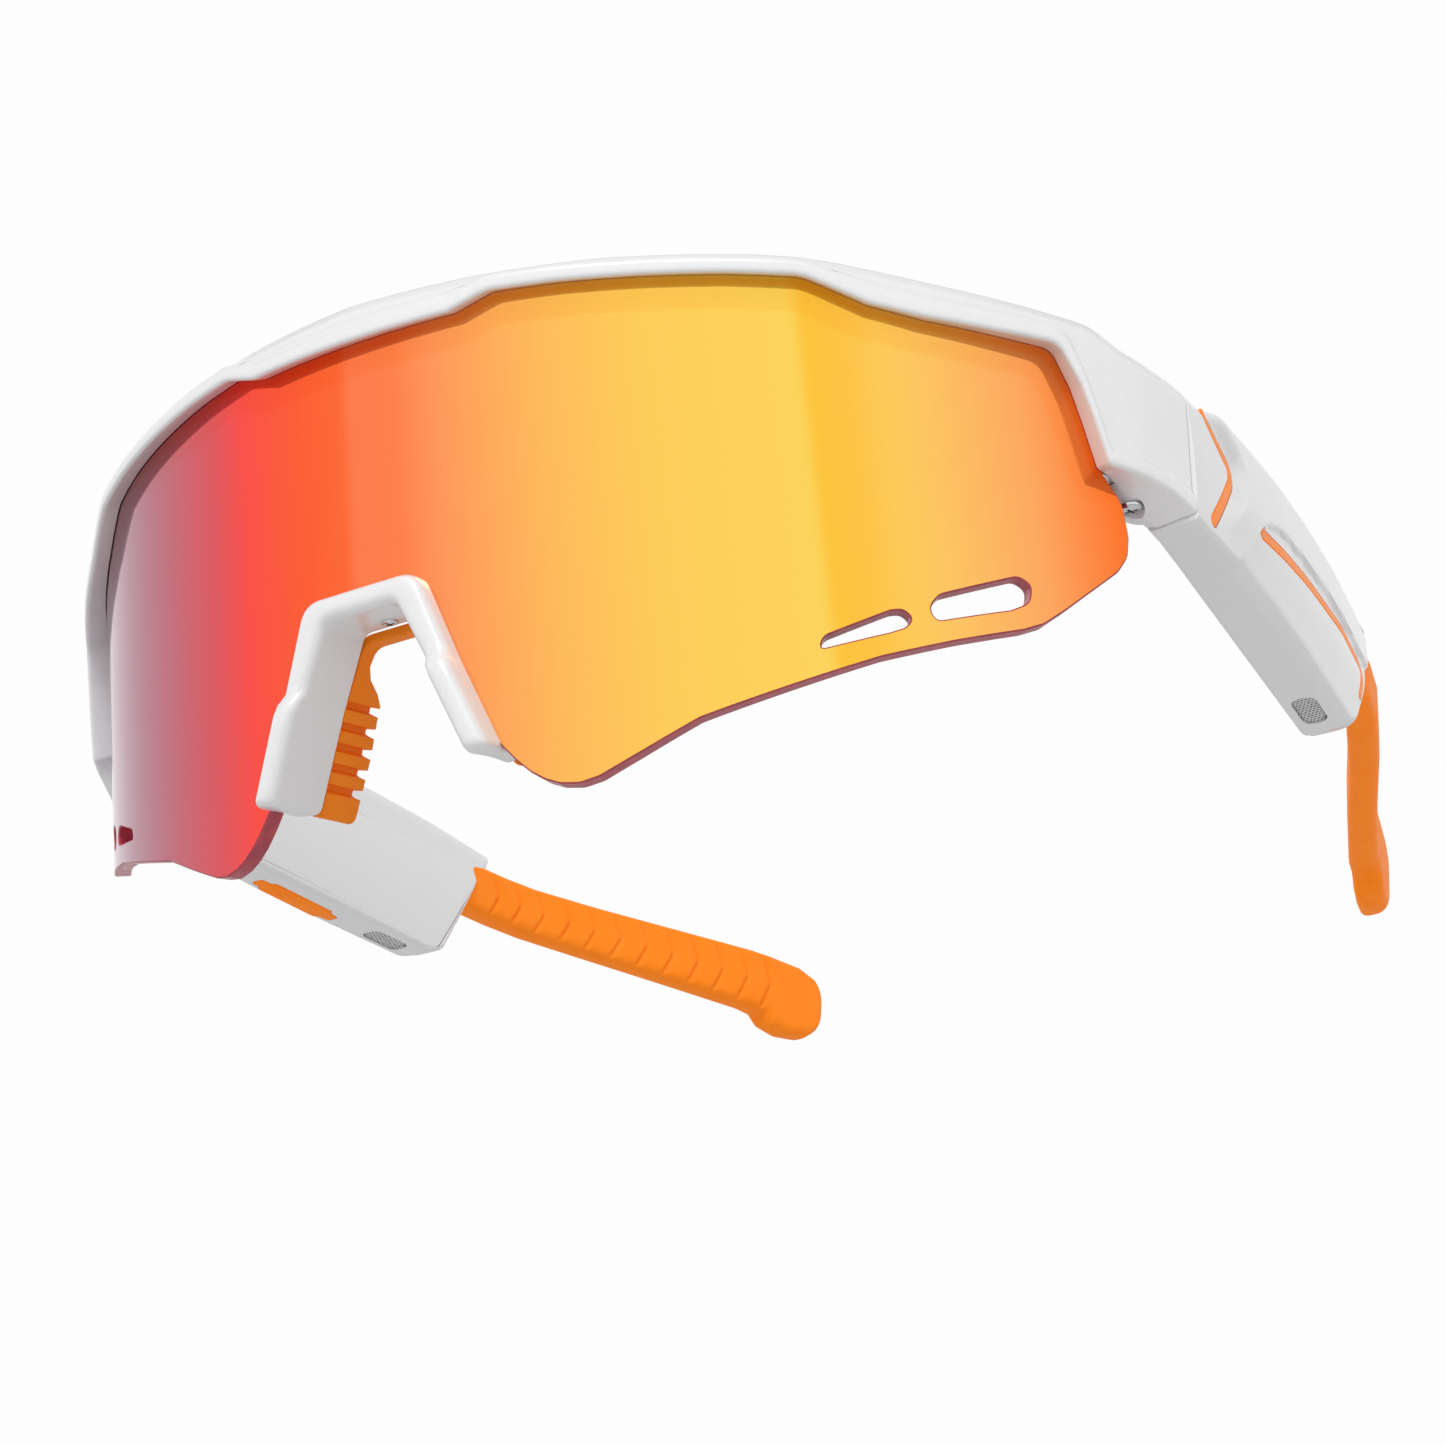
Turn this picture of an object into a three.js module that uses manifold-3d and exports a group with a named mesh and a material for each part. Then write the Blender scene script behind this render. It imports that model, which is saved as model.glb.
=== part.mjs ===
// Wraparound sport sunglasses with speaker arms: a half-rim shield frame, one mirrored shield
// lens, a clip-on nose bridge with a soft saddle, and two folding arms with soft ear tips.
//
// Millimetres. +X is the wearer's left, -Y the way the wearer looks, +Z up. The glasses rest on
// the two lower lobes of the lens and on the two ear tips. The origin is the centre of that
// footprint, set at the end of the file.

import * as THREE from 'three';
import { mergeVertices } from 'three/addons/utils/BufferGeometryUtils.js';
import Module from 'manifold-3d';

const wasm = await Module();
wasm.setup();

// ---------------------------------------------------------------- driving dimensions

const GAP = 0.3;                                  // clearance between neighbouring pieces
// The lens lobes and ear tips are trimmed level at this height, for small resting flats.
const FLOOR_TRIM = 0.15;

// The lens is part of a cylinder. A point on it is given by its arc length s from the middle,
// its height t along the cylinder's axis and its radius r.
const LENS = { radius: 82, thickness: 2, tilt: 2.8, apexY: -3.262, apexZ: 10.642 };
const LENS_TUCK = 1.3;                            // lens hidden inside the frame's groove
const LENS_LOWER = [[0, 14.4], [5.2, 14.4], [7.2, 12.8], [11.2, 4.2], [14.6, -4], [17, -6.9], [18.6, -8.5],
  [20.2, -9.6], [21.8, -10.3], [23.9, -10.6], [26.1, -10.2], [30.3, -8.4], [37, -5.4], [45, -3.3], [56, -0.4],
  [64, 1.1], [71.4, 2.3], [73.7, 3], [76.4, 4.7], [82.9, 9.3], [84.2, 11], [84.7, 13.5]];
const LENS_SIDE = [[82.5, 30], [82.6, 19.3], [83.6, 18.6], [84.3, 17.4], [84.7, 15]];
const VENTS = [
  [[49.7, 1], [57, 2.6], [58.6, 3], [59.2, 3.7], [58.6, 4.6], [57.6, 4.7], [50.3, 2.3]],
  [[62.2, 3.7], [69.8, 4.7], [71.6, 5.6], [72.3, 6.9], [71.5, 8], [70.3, 8.2], [62.6, 6.2], [61.7, 5]],
];

// The frame follows the same cylinder: its lower edge, its upper edge and its outer radius.
const FRAME_LOWER = [[0, 43.2], [13.2, 43.2], [17.8, 44.6], [25.3, 44.1], [34, 43.3], [43, 42.4], [51, 41.4],
  [57.5, 37.9], [63.2, 36.2], [70.7, 34.7], [76.9, 33.5], [78.3, 32.1], [79.2, 29], [80.2, 25.4], [81.4, 20.3],
  [81.9, 19.9], [85.7, 19.2], [89.2, 17.8], [92.1, 15.8], [97, 12]];
const FRAME_UPPER = [[0, 48.3], [15, 47.7], [29.5, 46.8], [39.5, 45.6], [50.5, 44], [53.5, 42.9], [58.2, 40.9],
  [66.7, 39], [74.2, 37.6], [81.5, 36.2], [84.8, 33.9], [90.2, 31.9], [97, 28.4]];
const FRAME_OUTER = [[0, 84], [60, 84], [70, 84.4], [80, 85], [85, 85], [90, 84.6], [97, 84]];
const FRAME_INNER = 77.4;
const FRAME_END = 97;
// Beside the hinge the frame's underside is lower on its inner part than at its outer lip.
const FRAME_HEEL = { radius: 80.6, drop: 1.9, starts: 83.4, full: 86 };

// Each arm turns on an upright pin. The seam between frame and arm leans back a little.
const PIN = { x: 70, y: 39.4, radius: 0.9, bottom: 25.5, top: 37 };
const PIN_HEAD = { radius: 1.3, height: 0.7 };
const KNUCKLE = { radius: 2.3, bore: 1.2, bottom: 28.5, top: 33.9 };
const LEAF = { inner: 70.3, outer: 72.2, end: 47.5 };
const EAR_RADIUS = 2.6;
const FRAME_INNER_SIDE = 67.4;
const SEAM = { lowY: 42.5, lowZ: 24.2, highY: 43.7, highZ: 38.3 };

// The arms droop towards the ears. In the arm's frame x is across, y along and z square to it.
const ARM = { y: 40, z: 24.5, droop: 16.4 };
const ARM_STATIONS = [
  // along, inner x, outer x at the bottom, outer x at the top, height
  { y: -4, inner: 70.3, outer: 76.4, crest: 76.3, height: 14.1 },
  { y: 4, inner: 69.9, outer: 76.1, crest: 75.9, height: 14.7 },
  { y: 7, inner: 69.5, outer: 76, crest: 76, height: 15.8 },
  { y: 9.5, inner: 69.3, outer: 75.9, crest: 75.8, height: 16.6 },
  { y: 16, inner: 68.5, outer: 75.5, crest: 74.9, height: 17.6 },
  { y: 26, inner: 67.3, outer: 74.5, crest: 73.6, height: 18.5 },
  { y: 36, inner: 66.1, outer: 73.1, crest: 72, height: 19.2 },
  { y: 46, inner: 64.9, outer: 71.5, crest: 70.3, height: 19.2 },
  { y: 56, inner: 63.7, outer: 69.8, crest: 68.3, height: 18.6 },
  { y: 64, inner: 62.7, outer: 68.3, crest: 66.6, height: 17.4 },
];
const ARM_END = { bottomY: 53, topY: 61.3, topZ: 17 };  // the slanted rear end of the arm's case
const WALL = 1.3;
const COVER = { thickness: 1.1, front: 9, rear: 51.5, low: 2, high: 13.6 };

const TIP_STATIONS = [
  // along, centre x, half width, bottom, top
  { y: 57.6, x: 66, half: 2.3, low: 8.9, high: 16.6 },
  { y: 64, x: 64.6, half: 2.3, low: 8.9, high: 16.6 },
  { y: 69, x: 63, half: 2.3, low: 8.8, high: 16.6 },
  { y: 78, x: 58.9, half: 2.3, low: 8.7, high: 16.7 },
  { y: 89, x: 53.3, half: 2.3, low: 8.3, high: 17 },
  { y: 100, x: 48.1, half: 2.3, low: 8.1, high: 17.3 },
  { y: 103.4, x: 46.7, half: 2.3, low: 7.9, high: 17.4 },
  { y: 104.6, x: 46.2, half: 2.4, low: 6.6, high: 17.4 },
  { y: 108.6, x: 44.9, half: 2.3, low: 6.2, high: 17.2 },
  { y: 111, x: 44.2, half: 1.9, low: 7.4, high: 16 },
  { y: 112, x: 44, half: 1.2, low: 9, high: 14.6 },
];
const TIP_CORE = { front: 53, rear: 101, half: 0.8, low: 11, high: 14.4 };

// The nose bridge is an upside-down U that clips over the lens edge.
const BRIDGE_INNER = [[4.9, 23.4], [10.3, 15.6], [13.6, 5.2]];
const BRIDGE_OUTER = [[16.4, 5.4], [13.1, 16.2], [12.2, 17.4], [9.4, 23.4], [8, 25.8], [6.4, 26.8]];
const BRIDGE = { front: -4.2, rear: 3.2 };
const PAD = { front: 3.5, rear: 9.6, thickness: 2.6, top: 22.4, bottom: 4.6 };
const RIBS = { count: 5, first: 7.2, height: 1.7, depth: 0.8 };
const BRIDGE_SCREW = { y: 1.2, radius: 1, head: 1.5, headHeight: 0.6, length: 2.2 };
const SLOT = { half: 0.2, depth: 0.35 };             // screwdriver slot of every screw

// ---------------------------------------------------------------- materials

const plastic = (color, roughness) => new THREE.MeshStandardMaterial({ color, roughness, metalness: 0 });
const metal = (color, roughness) => new THREE.MeshStandardMaterial({ color, roughness, metalness: 1 });
const WHITE = () => plastic(0xeeeeee, 0.35);
const ORANGE = () => plastic(0xff8c1e, 0.6);
const MIRROR_LENS = () => new THREE.MeshStandardMaterial({ color: 0xff9646, roughness: 0.08, metalness: 0.6 });
const STEEL = () => metal(0xc8c8cc, 0.25);
const DARK = () => plastic(0x33353a, 0.7);
const GREEN = () => plastic(0x1f6b46, 0.5);
const SILVER = () => plastic(0xb9bcc2, 0.4);

// ---------------------------------------------------------------- shape helpers

// Height of a polyline of [along, value] pairs at one place along it.
function valueAt(line, along) {
  for (let i = 1; i < line.length; i++) {
    const [a, va] = line[i - 1];
    const [b, vb] = line[i];
    if (along <= b) return va + ((vb - va) * (along - a)) / (b - a);
  }
  return line[line.length - 1][1];
}

// Places along a half, so that every listed corner is met and no step is longer than step.
function stops(limit, step, ...lines) {
  const corners = lines.flat().map(([s]) => s).filter((s) => s > 0 && s < limit);
  const sorted = [...new Set([0, ...corners, limit])].sort((a, b) => a - b);
  const result = [0];
  for (let i = 1; i < sorted.length; i++) {
    const parts = Math.ceil((sorted[i] - sorted[i - 1]) / step);
    for (let k = 1; k <= parts; k++) result.push(sorted[i - 1] + ((sorted[i] - sorted[i - 1]) * k) / parts);
  }
  return result;
}

const bothSides = (half) => [...half.slice(1).reverse().map((s) => -s), ...half];

// Point of the lens cylinder.
function onLens(s, t, r) {
  const tilt = THREE.MathUtils.degToRad(LENS.tilt);
  const angle = s / LENS.radius;
  const back = LENS.radius - r * Math.cos(angle);
  return new THREE.Vector3(
    r * Math.sin(angle),
    LENS.apexY + t * Math.sin(tilt) + back * Math.cos(tilt),
    LENS.apexZ + t * Math.cos(tilt) - back * Math.sin(tilt),
  );
}

// Triangles that close a ring of points, found in the ring's own plane.
function capOf(ring) {
  const normal = new THREE.Vector3();
  for (let i = 0; i < ring.length; i++) {
    normal.add(new THREE.Vector3().crossVectors(ring[i], ring[(i + 1) % ring.length]));
  }
  normal.normalize();
  const across = new THREE.Vector3().subVectors(ring[1], ring[0]).normalize();
  const up = new THREE.Vector3().crossVectors(normal, across);
  const flat = ring.map((p) => new THREE.Vector2(p.dot(across), p.dot(up)));
  return THREE.ShapeUtils.triangulateShape(flat, []);
}

// Closed body through rings that all have the same number of points.
function loft(rings) {
  const count = rings[0].length;
  const index = [];
  for (let k = 0; k < rings.length - 1; k++) {
    for (let i = 0; i < count; i++) {
      const a = k * count + i;
      const b = k * count + ((i + 1) % count);
      index.push(a, b, a + count, b, b + count, a + count);
    }
  }
  const last = (rings.length - 1) * count;
  for (const [a, b, c] of capOf(rings[0])) index.push(a, c, b);
  for (const [a, b, c] of capOf(rings[rings.length - 1])) index.push(last + a, last + b, last + c);
  const points = rings.flat().flatMap((p) => p.toArray());
  const geometry = new THREE.BufferGeometry();
  geometry.setAttribute('position', new THREE.Float32BufferAttribute(points, 3));
  geometry.setIndex(index);
  return facingOut(geometry);
}

function facingOut(geometry) {
  const points = geometry.getAttribute('position');
  const index = geometry.getIndex();
  const corner = (i) => new THREE.Vector3().fromBufferAttribute(points, index.getX(i));
  let volume = 0;
  for (let i = 0; i < index.count; i += 3) volume += corner(i).dot(corner(i + 1).cross(corner(i + 2)));
  if (volume < 0) geometry.setIndex([...index.array].reverse());
  return geometry;
}

// Flat outline swept straight from one place to another.
function prism(outline, placeA, placeB) {
  return loft([outline.map(([u, v]) => placeA(u, v)), outline.map(([u, v]) => placeB(u, v))]);
}

const prismX = (outlineYZ, x0, x1) => prism(outlineYZ, (y, z) => new THREE.Vector3(x0, y, z),
  (y, z) => new THREE.Vector3(x1, y, z));
const prismY = (outlineXZ, y0, y1) => prism(outlineXZ, (x, z) => new THREE.Vector3(x, y0, z),
  (x, z) => new THREE.Vector3(x, y1, z));
const prismZ = (outlineXY, z0, z1) => prism(outlineXY, (x, y) => new THREE.Vector3(x, y, z0),
  (x, y) => new THREE.Vector3(x, y, z1));

function block(x0, x1, y0, y1, z0, z1) {
  const geometry = new THREE.BoxGeometry(x1 - x0, y1 - y0, z1 - z0);
  return geometry.translate((x0 + x1) / 2, (y0 + y1) / 2, (z0 + z1) / 2);
}

// Upright cylinder.
function post(x, y, z0, z1, radius, sides = 24) {
  const geometry = new THREE.CylinderGeometry(radius, radius, z1 - z0, sides);
  return geometry.rotateX(Math.PI / 2).translate(x, y, (z0 + z1) / 2);
}

function solid(geometry) {
  const bare = new THREE.BufferGeometry();
  bare.setAttribute('position', geometry.getAttribute('position'));
  bare.setIndex(geometry.getIndex());
  const merged = mergeVertices(bare, 1e-5);
  return new wasm.Manifold(new wasm.Mesh({
    numProp: 3,
    vertProperties: merged.getAttribute('position').array,
    triVerts: Uint32Array.from(merged.getIndex().array),
  }));
}

function shell(manifold) {
  const mesh = manifold.getMesh();
  const geometry = new THREE.BufferGeometry();
  geometry.setAttribute('position', new THREE.BufferAttribute(mesh.vertProperties, 3));
  geometry.setIndex(new THREE.BufferAttribute(mesh.triVerts, 1));
  return geometry;
}

const cut = (body, ...tools) => shell(tools.reduce((left, tool) => left.subtract(solid(tool)), solid(body)));
const join = (...bodies) => shell(bodies.map(solid).reduce((sum, next) => sum.add(next)));
const common = (a, b) => shell(solid(a).intersect(solid(b)));

// The same body on the other side of the glasses.
function mirrored(geometry) {
  const copy = geometry.clone().applyMatrix4(new THREE.Matrix4().makeScale(-1, 1, 1));
  copy.setIndex([...copy.getIndex().array].reverse());
  return copy;
}

function named(name, geometry, material) {
  geometry.deleteAttribute('uv');
  geometry.deleteAttribute('normal');
  geometry.computeVertexNormals();
  const mesh = new THREE.Mesh(geometry, material);
  mesh.name = name;
  return mesh;
}

// ---------------------------------------------------------------- lens

const frameLower = (s) => valueAt(FRAME_LOWER, Math.abs(s));
const frameUpper = (s) => valueAt(FRAME_UPPER, Math.abs(s));

function lensUpper(s) {
  const side = Math.abs(s);
  if (side >= LENS_SIDE[0][0]) return valueAt(LENS_SIDE, side);
  const tucked = Math.min(side, 77.5);
  return valueAt(FRAME_LOWER, tucked) + LENS_TUCK - Math.max(0, side - 78.5) * 0.9;
}

const lensLower = (s) => valueAt(LENS_LOWER, Math.abs(s));

// Slab that follows the lens between two height functions and two radii.
function lensSlab(columns, low, high, inner, outer) {
  return loft(columns.map((s) => [
    onLens(s, low(s), inner), onLens(s, low(s), outer), onLens(s, high(s), outer), onLens(s, high(s), inner),
  ]));
}

function ventCutter(outline, side) {
  const ring = (r) => outline.map(([s, t]) => onLens(side * s, t, r));
  return loft([ring(LENS.radius - LENS.thickness - 1), ring(LENS.radius + 1)]);
}

function lensBody() {
  const end = 84.7;
  const columns = bothSides(stops(end, 4, LENS_LOWER, LENS_SIDE, FRAME_LOWER.filter(([s]) => s < 80)));
  const blank = lensSlab(columns, lensLower, lensUpper, LENS.radius - LENS.thickness, LENS.radius);
  const vents = VENTS.flatMap((outline) => [ventCutter(outline, 1), ventCutter(outline, -1)]);
  const underFloor = block(-40, 40, -10, 30, -2, FLOOR_TRIM);
  return cut(blank, ...vents, underFloor);
}

// ---------------------------------------------------------------- front frame

function frameRing(s) {
  const low = frameLower(s);
  const high = frameUpper(s);
  const outer = valueAt(FRAME_OUTER, Math.abs(s));
  const heel = low - valueAt([[0, 0], [FRAME_HEEL.starts, 0], [FRAME_HEEL.full, FRAME_HEEL.drop]], Math.abs(s));
  const section = [
    [heel, FRAME_INNER + 0.5], [heel, FRAME_HEEL.radius], [low, outer - 0.6], [low + 0.5, outer],
    [high - 1.4, outer - 0.1], [high - 0.4, outer - 0.6], [high, outer - 1.6], [high, FRAME_INNER + 1.2],
    [high - 1, FRAME_INNER], [heel + 0.5, FRAME_INNER],
  ];
  return section.map(([t, r]) => onLens(s, t, r));
}

function lensGroove() {
  const end = 82.9;
  const columns = bothSides(stops(end, 6, FRAME_LOWER.filter(([s]) => s < 80), LENS_SIDE));
  const inner = LENS.radius - LENS.thickness - GAP;
  return lensSlab(columns, (s) => frameLower(s) - 4, (s) => lensUpper(s) + GAP, inner, LENS.radius + GAP);
}

const seamY = (z) => SEAM.lowY + ((SEAM.highY - SEAM.lowY) * (z - SEAM.lowZ)) / (SEAM.highZ - SEAM.lowZ);

// Everything behind the seam, moved back by offset.
function behindSeam(offset) {
  const far = 90;
  return prismX([[seamY(0) + offset, 0], [far, 0], [far, 70], [seamY(70) + offset, 70]], 55, 95);
}

// Space that the arm's front corner sweeps as it folds, beside the ears of the hinge.
function foldClearance() {
  const outline = [[55, 37], [FRAME_INNER_SIDE, 37], [FRAME_INNER_SIDE, PIN.y]];
  for (let k = 1; k <= 8; k++) {
    const angle = Math.PI - (k / 8) * (Math.PI / 2);
    outline.push([PIN.x + EAR_RADIUS * Math.cos(angle), PIN.y + EAR_RADIUS * Math.sin(angle)]);
  }
  outline.push([PIN.x, 60], [55, 60]);
  return prismZ(outline, 5, 70);
}

function hingeSlot() {
  const reach = KNUCKLE.radius + GAP;
  return block(55, PIN.x + reach, PIN.y - reach, 60, KNUCKLE.bottom - GAP, KNUCKLE.top + GAP);
}

function screwHole() {
  const shaft = post(PIN.x, PIN.y, 20, PIN.top + GAP, PIN.radius + 0.2);
  const head = post(PIN.x, PIN.y, 15, PIN.bottom + PIN_HEAD.height + GAP, PIN_HEAD.radius + 0.2);
  return join(shaft, head);
}

function frontFrameBody() {
  const rings = bothSides(stops(FRAME_END, 4, FRAME_LOWER, FRAME_UPPER, FRAME_OUTER)).map(frameRing);
  const sideCuts = [behindSeam(-0.15), foldClearance(), hingeSlot(), screwHole()];
  return cut(loft(rings), lensGroove(), ...sideCuts, ...sideCuts.map(mirrored));
}

// Straight slot across a screw head that faces down.
function screwdriverSlot(x, y, bottom) {
  const reach = 2;
  return block(x - reach, x + reach, y - SLOT.half, y + SLOT.half, bottom - 1, bottom + SLOT.depth);
}

function hingeScrewBody() {
  const shaft = post(PIN.x, PIN.y, PIN.bottom + 0.1, PIN.top, PIN.radius);
  const head = post(PIN.x, PIN.y, PIN.bottom, PIN.bottom + PIN_HEAD.height, PIN_HEAD.radius);
  return cut(join(shaft, head), screwdriverSlot(PIN.x, PIN.y, PIN.bottom));
}

// ---------------------------------------------------------------- nose bridge and saddle

const otherHalf = (outline) => outline.map(([x, z]) => [-x, z]).reverse();

function bridgeBody() {
  const half = [...BRIDGE_INNER, ...BRIDGE_OUTER];
  const blank = prismY([...half, ...otherHalf(half)], BRIDGE.front, BRIDGE.rear);
  const inner = LENS.radius - LENS.thickness - GAP;
  const columns = bothSides(stops(24, 3, LENS_LOWER));
  const lensSlot = lensSlab(columns, (s) => lensLower(s) - GAP, () => 40, inner, LENS.radius + GAP);
  return cut(blank, lensSlot, bridgeScrewHole());
}

function bridgeScrewHole() {
  const bottom = BRIDGE_INNER[0][1];
  return post(0, BRIDGE_SCREW.y, bottom - 3, bottom + BRIDGE_SCREW.length + GAP, BRIDGE_SCREW.radius + 0.2, 20);
}

function bridgeScrewBody() {
  const { y, radius, head, headHeight, length } = BRIDGE_SCREW;
  const seat = BRIDGE_INNER[0][1] - GAP;
  const shaft = post(0, y, seat - 0.2, seat + length, radius, 20);
  const cap = post(0, y, seat - headHeight, seat, head, 20);
  return cut(join(shaft, cap), screwdriverSlot(0, y, seat - headHeight));
}

// Inner face of the saddle's leg, level with the bridge's inner face.
function saddleInner(z) {
  const line = [...BRIDGE_INNER].reverse().map(([x, height]) => [height, x]);
  return valueAt([[0, 15.2], ...line, [30, 1.5]], z);
}

function nosePadBody() {
  const heights = [PAD.bottom, 10, 15.6, PAD.top];
  const inner = heights.map((z) => [saddleInner(z), z]);
  const outer = [...heights].reverse().map((z) => [saddleInner(z) + PAD.thickness, z + 0.8]);
  const half = [...inner.reverse(), ...outer.reverse()];
  const arch = prismY([...half, ...otherHalf(half)], PAD.front, PAD.rear);
  const grooves = [];
  const reach = 4;
  for (let k = 0; k < RIBS.count; k++) {
    const z = RIBS.first + k * 2 * RIBS.height;
    for (const side of [1, -1]) {
      const x = side * (saddleInner(z) + PAD.thickness / 2);
      grooves.push(block(x - reach, x + reach, PAD.rear - RIBS.depth, PAD.rear + 2, z, z + RIBS.height));
    }
  }
  return cut(arch, ...grooves);
}

// ---------------------------------------------------------------- arms, in the arm's own frame

const droop = THREE.MathUtils.degToRad(ARM.droop);
const armMatrix = new THREE.Matrix4().makeRotationX(-droop).setPosition(0, ARM.y, ARM.z);
const toArm = armMatrix.clone().invert();
const inArm = (geometry) => geometry.applyMatrix4(toArm);

// Every value of a list of stations at one place along it.
function stationAt(stations, y) {
  const keys = Object.keys(stations[0]);
  return Object.fromEntries(keys.map((key) => [key, valueAt(stations.map((row) => [row.y, row[key]]), y)]));
}

const armStation = (y) => stationAt(ARM_STATIONS, y);

// Section of the arm's case, shrunk by inset on every side.
function armRing(y, inset = 0) {
  const a = armStation(y);
  const top = a.height - inset;
  const inner = a.inner + inset;
  const waist = a.outer - inset;
  const crest = a.crest - inset;
  const section = [
    [inner + 0.3, inset], [waist - 0.6, inset], [waist, inset + 0.6], [waist - 0.2, top * 0.45],
    [crest, top - 0.8], [crest - 0.8, top], [inner + 1.2, top - 1.2], [inner, top - 2.8], [inner, inset + 0.3],
  ];
  return section.map(([x, z]) => new THREE.Vector3(x, y, z));
}

// Places from one end to the other, with every station between them.
function placesAlong(stations, from, to) {
  return [from, ...stations.map((row) => row.y).filter((y) => y > from && y < to), to];
}

const armYs = (from, to) => placesAlong(ARM_STATIONS, from, to);

function armEndCutter(offset) {
  const slope = (ARM_END.topY - ARM_END.bottomY) / ARM_END.topZ;
  const at = (z) => ARM_END.bottomY + slope * z + offset;
  return prismX([[at(-10), -10], [at(40), 40], [150, 40], [150, -10]], 30, 90);
}

// Room for the electronics, open towards the inner cover.
function armPocket() {
  const ring = (y) => {
    const a = armStation(y);
    const z0 = COVER.low + 0.8;
    const z1 = COVER.high - 0.8;
    return [[a.inner - 2, z0], [a.outer - WALL, z0], [a.outer - WALL - 0.6, z1], [a.inner - 2, z1]]
      .map(([x, z]) => new THREE.Vector3(x, y, z));
  };
  return loft(armYs(COVER.front + 1, COVER.rear - 1).map(ring));
}

// Recess that the inner cover drops into, or the cover itself when shrunk by inset.
function coverPlate(inset, from, depth) {
  const ring = (y) => {
    const inner = armStation(y).inner;
    const low = COVER.low + inset;
    const high = COVER.high - inset;
    return [[inner + from, low], [inner + depth, low], [inner + depth, high], [inner + from, high]]
      .map(([x, z]) => new THREE.Vector3(x, y, z));
  };
  return loft(armYs(COVER.front + inset, COVER.rear - inset).map(ring));
}

function leafSlot() {
  const outer = LEAF.outer + GAP + 0.2;
  return inArm(block(60, outer, 36, LEAF.end + GAP, KNUCKLE.bottom - GAP, KNUCKLE.top + GAP));
}

function outerX(y, z) {
  const a = armStation(y);
  const middle = a.height * 0.45;
  if (z < middle) return a.outer - (0.2 * z) / middle;
  return a.outer - 0.2 + ((a.crest - a.outer + 0.2) * (z - middle)) / (a.height - 0.8 - middle);
}

// Ribbon sunk into the outer face along a line of [y, z] points.
function ribbon(line, halfWidth, low, high) {
  const rings = line.map(([y, z], i) => {
    const [py, pz] = line[Math.max(i - 1, 0)];
    const [ny, nz] = line[Math.min(i + 1, line.length - 1)];
    const across = new THREE.Vector2(-(nz - pz), ny - py).normalize().multiplyScalar(halfWidth);
    const corner = (side, depth) => {
      const cy = y + side * across.x;
      const cz = z + side * across.y;
      return new THREE.Vector3(outerX(cy, cz) + depth, cy, cz);
    };
    return [corner(-1, low), corner(1, low), corner(1, high), corner(-1, high)];
  });
  return loft(rings);
}

function subdivided(line, step) {
  const result = [line[0]];
  for (let i = 1; i < line.length; i++) {
    const [ay, az] = line[i - 1];
    const [by, bz] = line[i];
    const parts = Math.ceil(Math.hypot(by - ay, bz - az) / step);
    for (let k = 1; k <= parts; k++) result.push([ay + ((by - ay) * k) / parts, az + ((bz - az) * k) / parts]);
  }
  return result;
}

const CHEVRON = [[6.5, 1.8], [11.3, 9.5], [11.2, 11.3], [4.1, 14.3]];
const STRIPE = [[19.4, 7.4], [33.6, 9.7], [48, 11.1], [55.6, 10.2], [54.8, 6.2]];
const STRIPE_HALF = 0.5;
const STRIPE_DEPTH = 0.7;

const stripeBody = (line) => ribbon(subdivided(line, 6), STRIPE_HALF, -STRIPE_DEPTH + GAP, 0.05);
const stripeGroove = (line) => ribbon(subdivided(lengthened(line), 6), STRIPE_HALF + GAP, -STRIPE_DEPTH, 2);

// The line with both ends pushed out, so that a groove clears the ends of its stripe.
function lengthened(line) {
  const push = ([ay, az], [by, bz]) => {
    const scale = GAP / Math.hypot(ay - by, az - bz);
    return [ay + (ay - by) * scale, az + (az - bz) * scale];
  };
  const last = line.length - 1;
  return [push(line[0], line[1]), ...line.slice(1, last), push(line[last], line[last - 1])];
}

const GRILLE = { y: 45.6, half: 3, halfWidth: 1.3, depth: 0.6 };

function grilleOutline(grow) {
  const middle = (armStation(GRILLE.y).inner + armStation(GRILLE.y).outer) / 2;
  const w = GRILLE.halfWidth + grow;
  const l = GRILLE.half + grow;
  return [[middle - w, GRILLE.y - l + 1], [middle - w + 1, GRILLE.y - l], [middle + w, GRILLE.y - l],
    [middle + w, GRILLE.y + l - 1], [middle + w - 1, GRILLE.y + l], [middle - w, GRILLE.y + l]];
}

const grilleBody = () => prismZ(grilleOutline(0), 0.1, GRILLE.depth + 0.1);
const grilleHole = () => prismZ(grilleOutline(GAP), -1, COVER.low + 1.2);

const PORT = { front: 23.6, rear: 39.4, half: 1.25, depth: 0.8, plugFront: 28.6, plugRear: 35 };

function portOutline(grow) {
  const middle = (y) => (armStation(y).inner + armStation(y).outer) / 2 + 0.3;
  const a = PORT.front - grow;
  const b = PORT.rear + grow;
  const w = PORT.half + grow;
  const side = (sign) => [[a, 0.5], [a + 2, 0.8], [a + 4, 1], [b - 4, 1], [b - 2, 0.8], [b, 0.5]]
    .map(([y, share]) => [middle(y) + sign * w * share, y]);
  return [...side(1), ...side(-1).reverse()];
}

function portCoverBody() {
  const flap = prismZ(portOutline(0), 0, PORT.depth);
  const middle = (armStation(32).inner + armStation(32).outer) / 2 + 0.3;
  const plug = block(middle - 0.9, middle + 0.9, PORT.plugFront, PORT.plugRear, PORT.depth - 0.2, 1.5);
  return join(flap, plug);
}

const portRecess = () => prismZ(portOutline(GAP), -1, PORT.depth + GAP);

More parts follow.
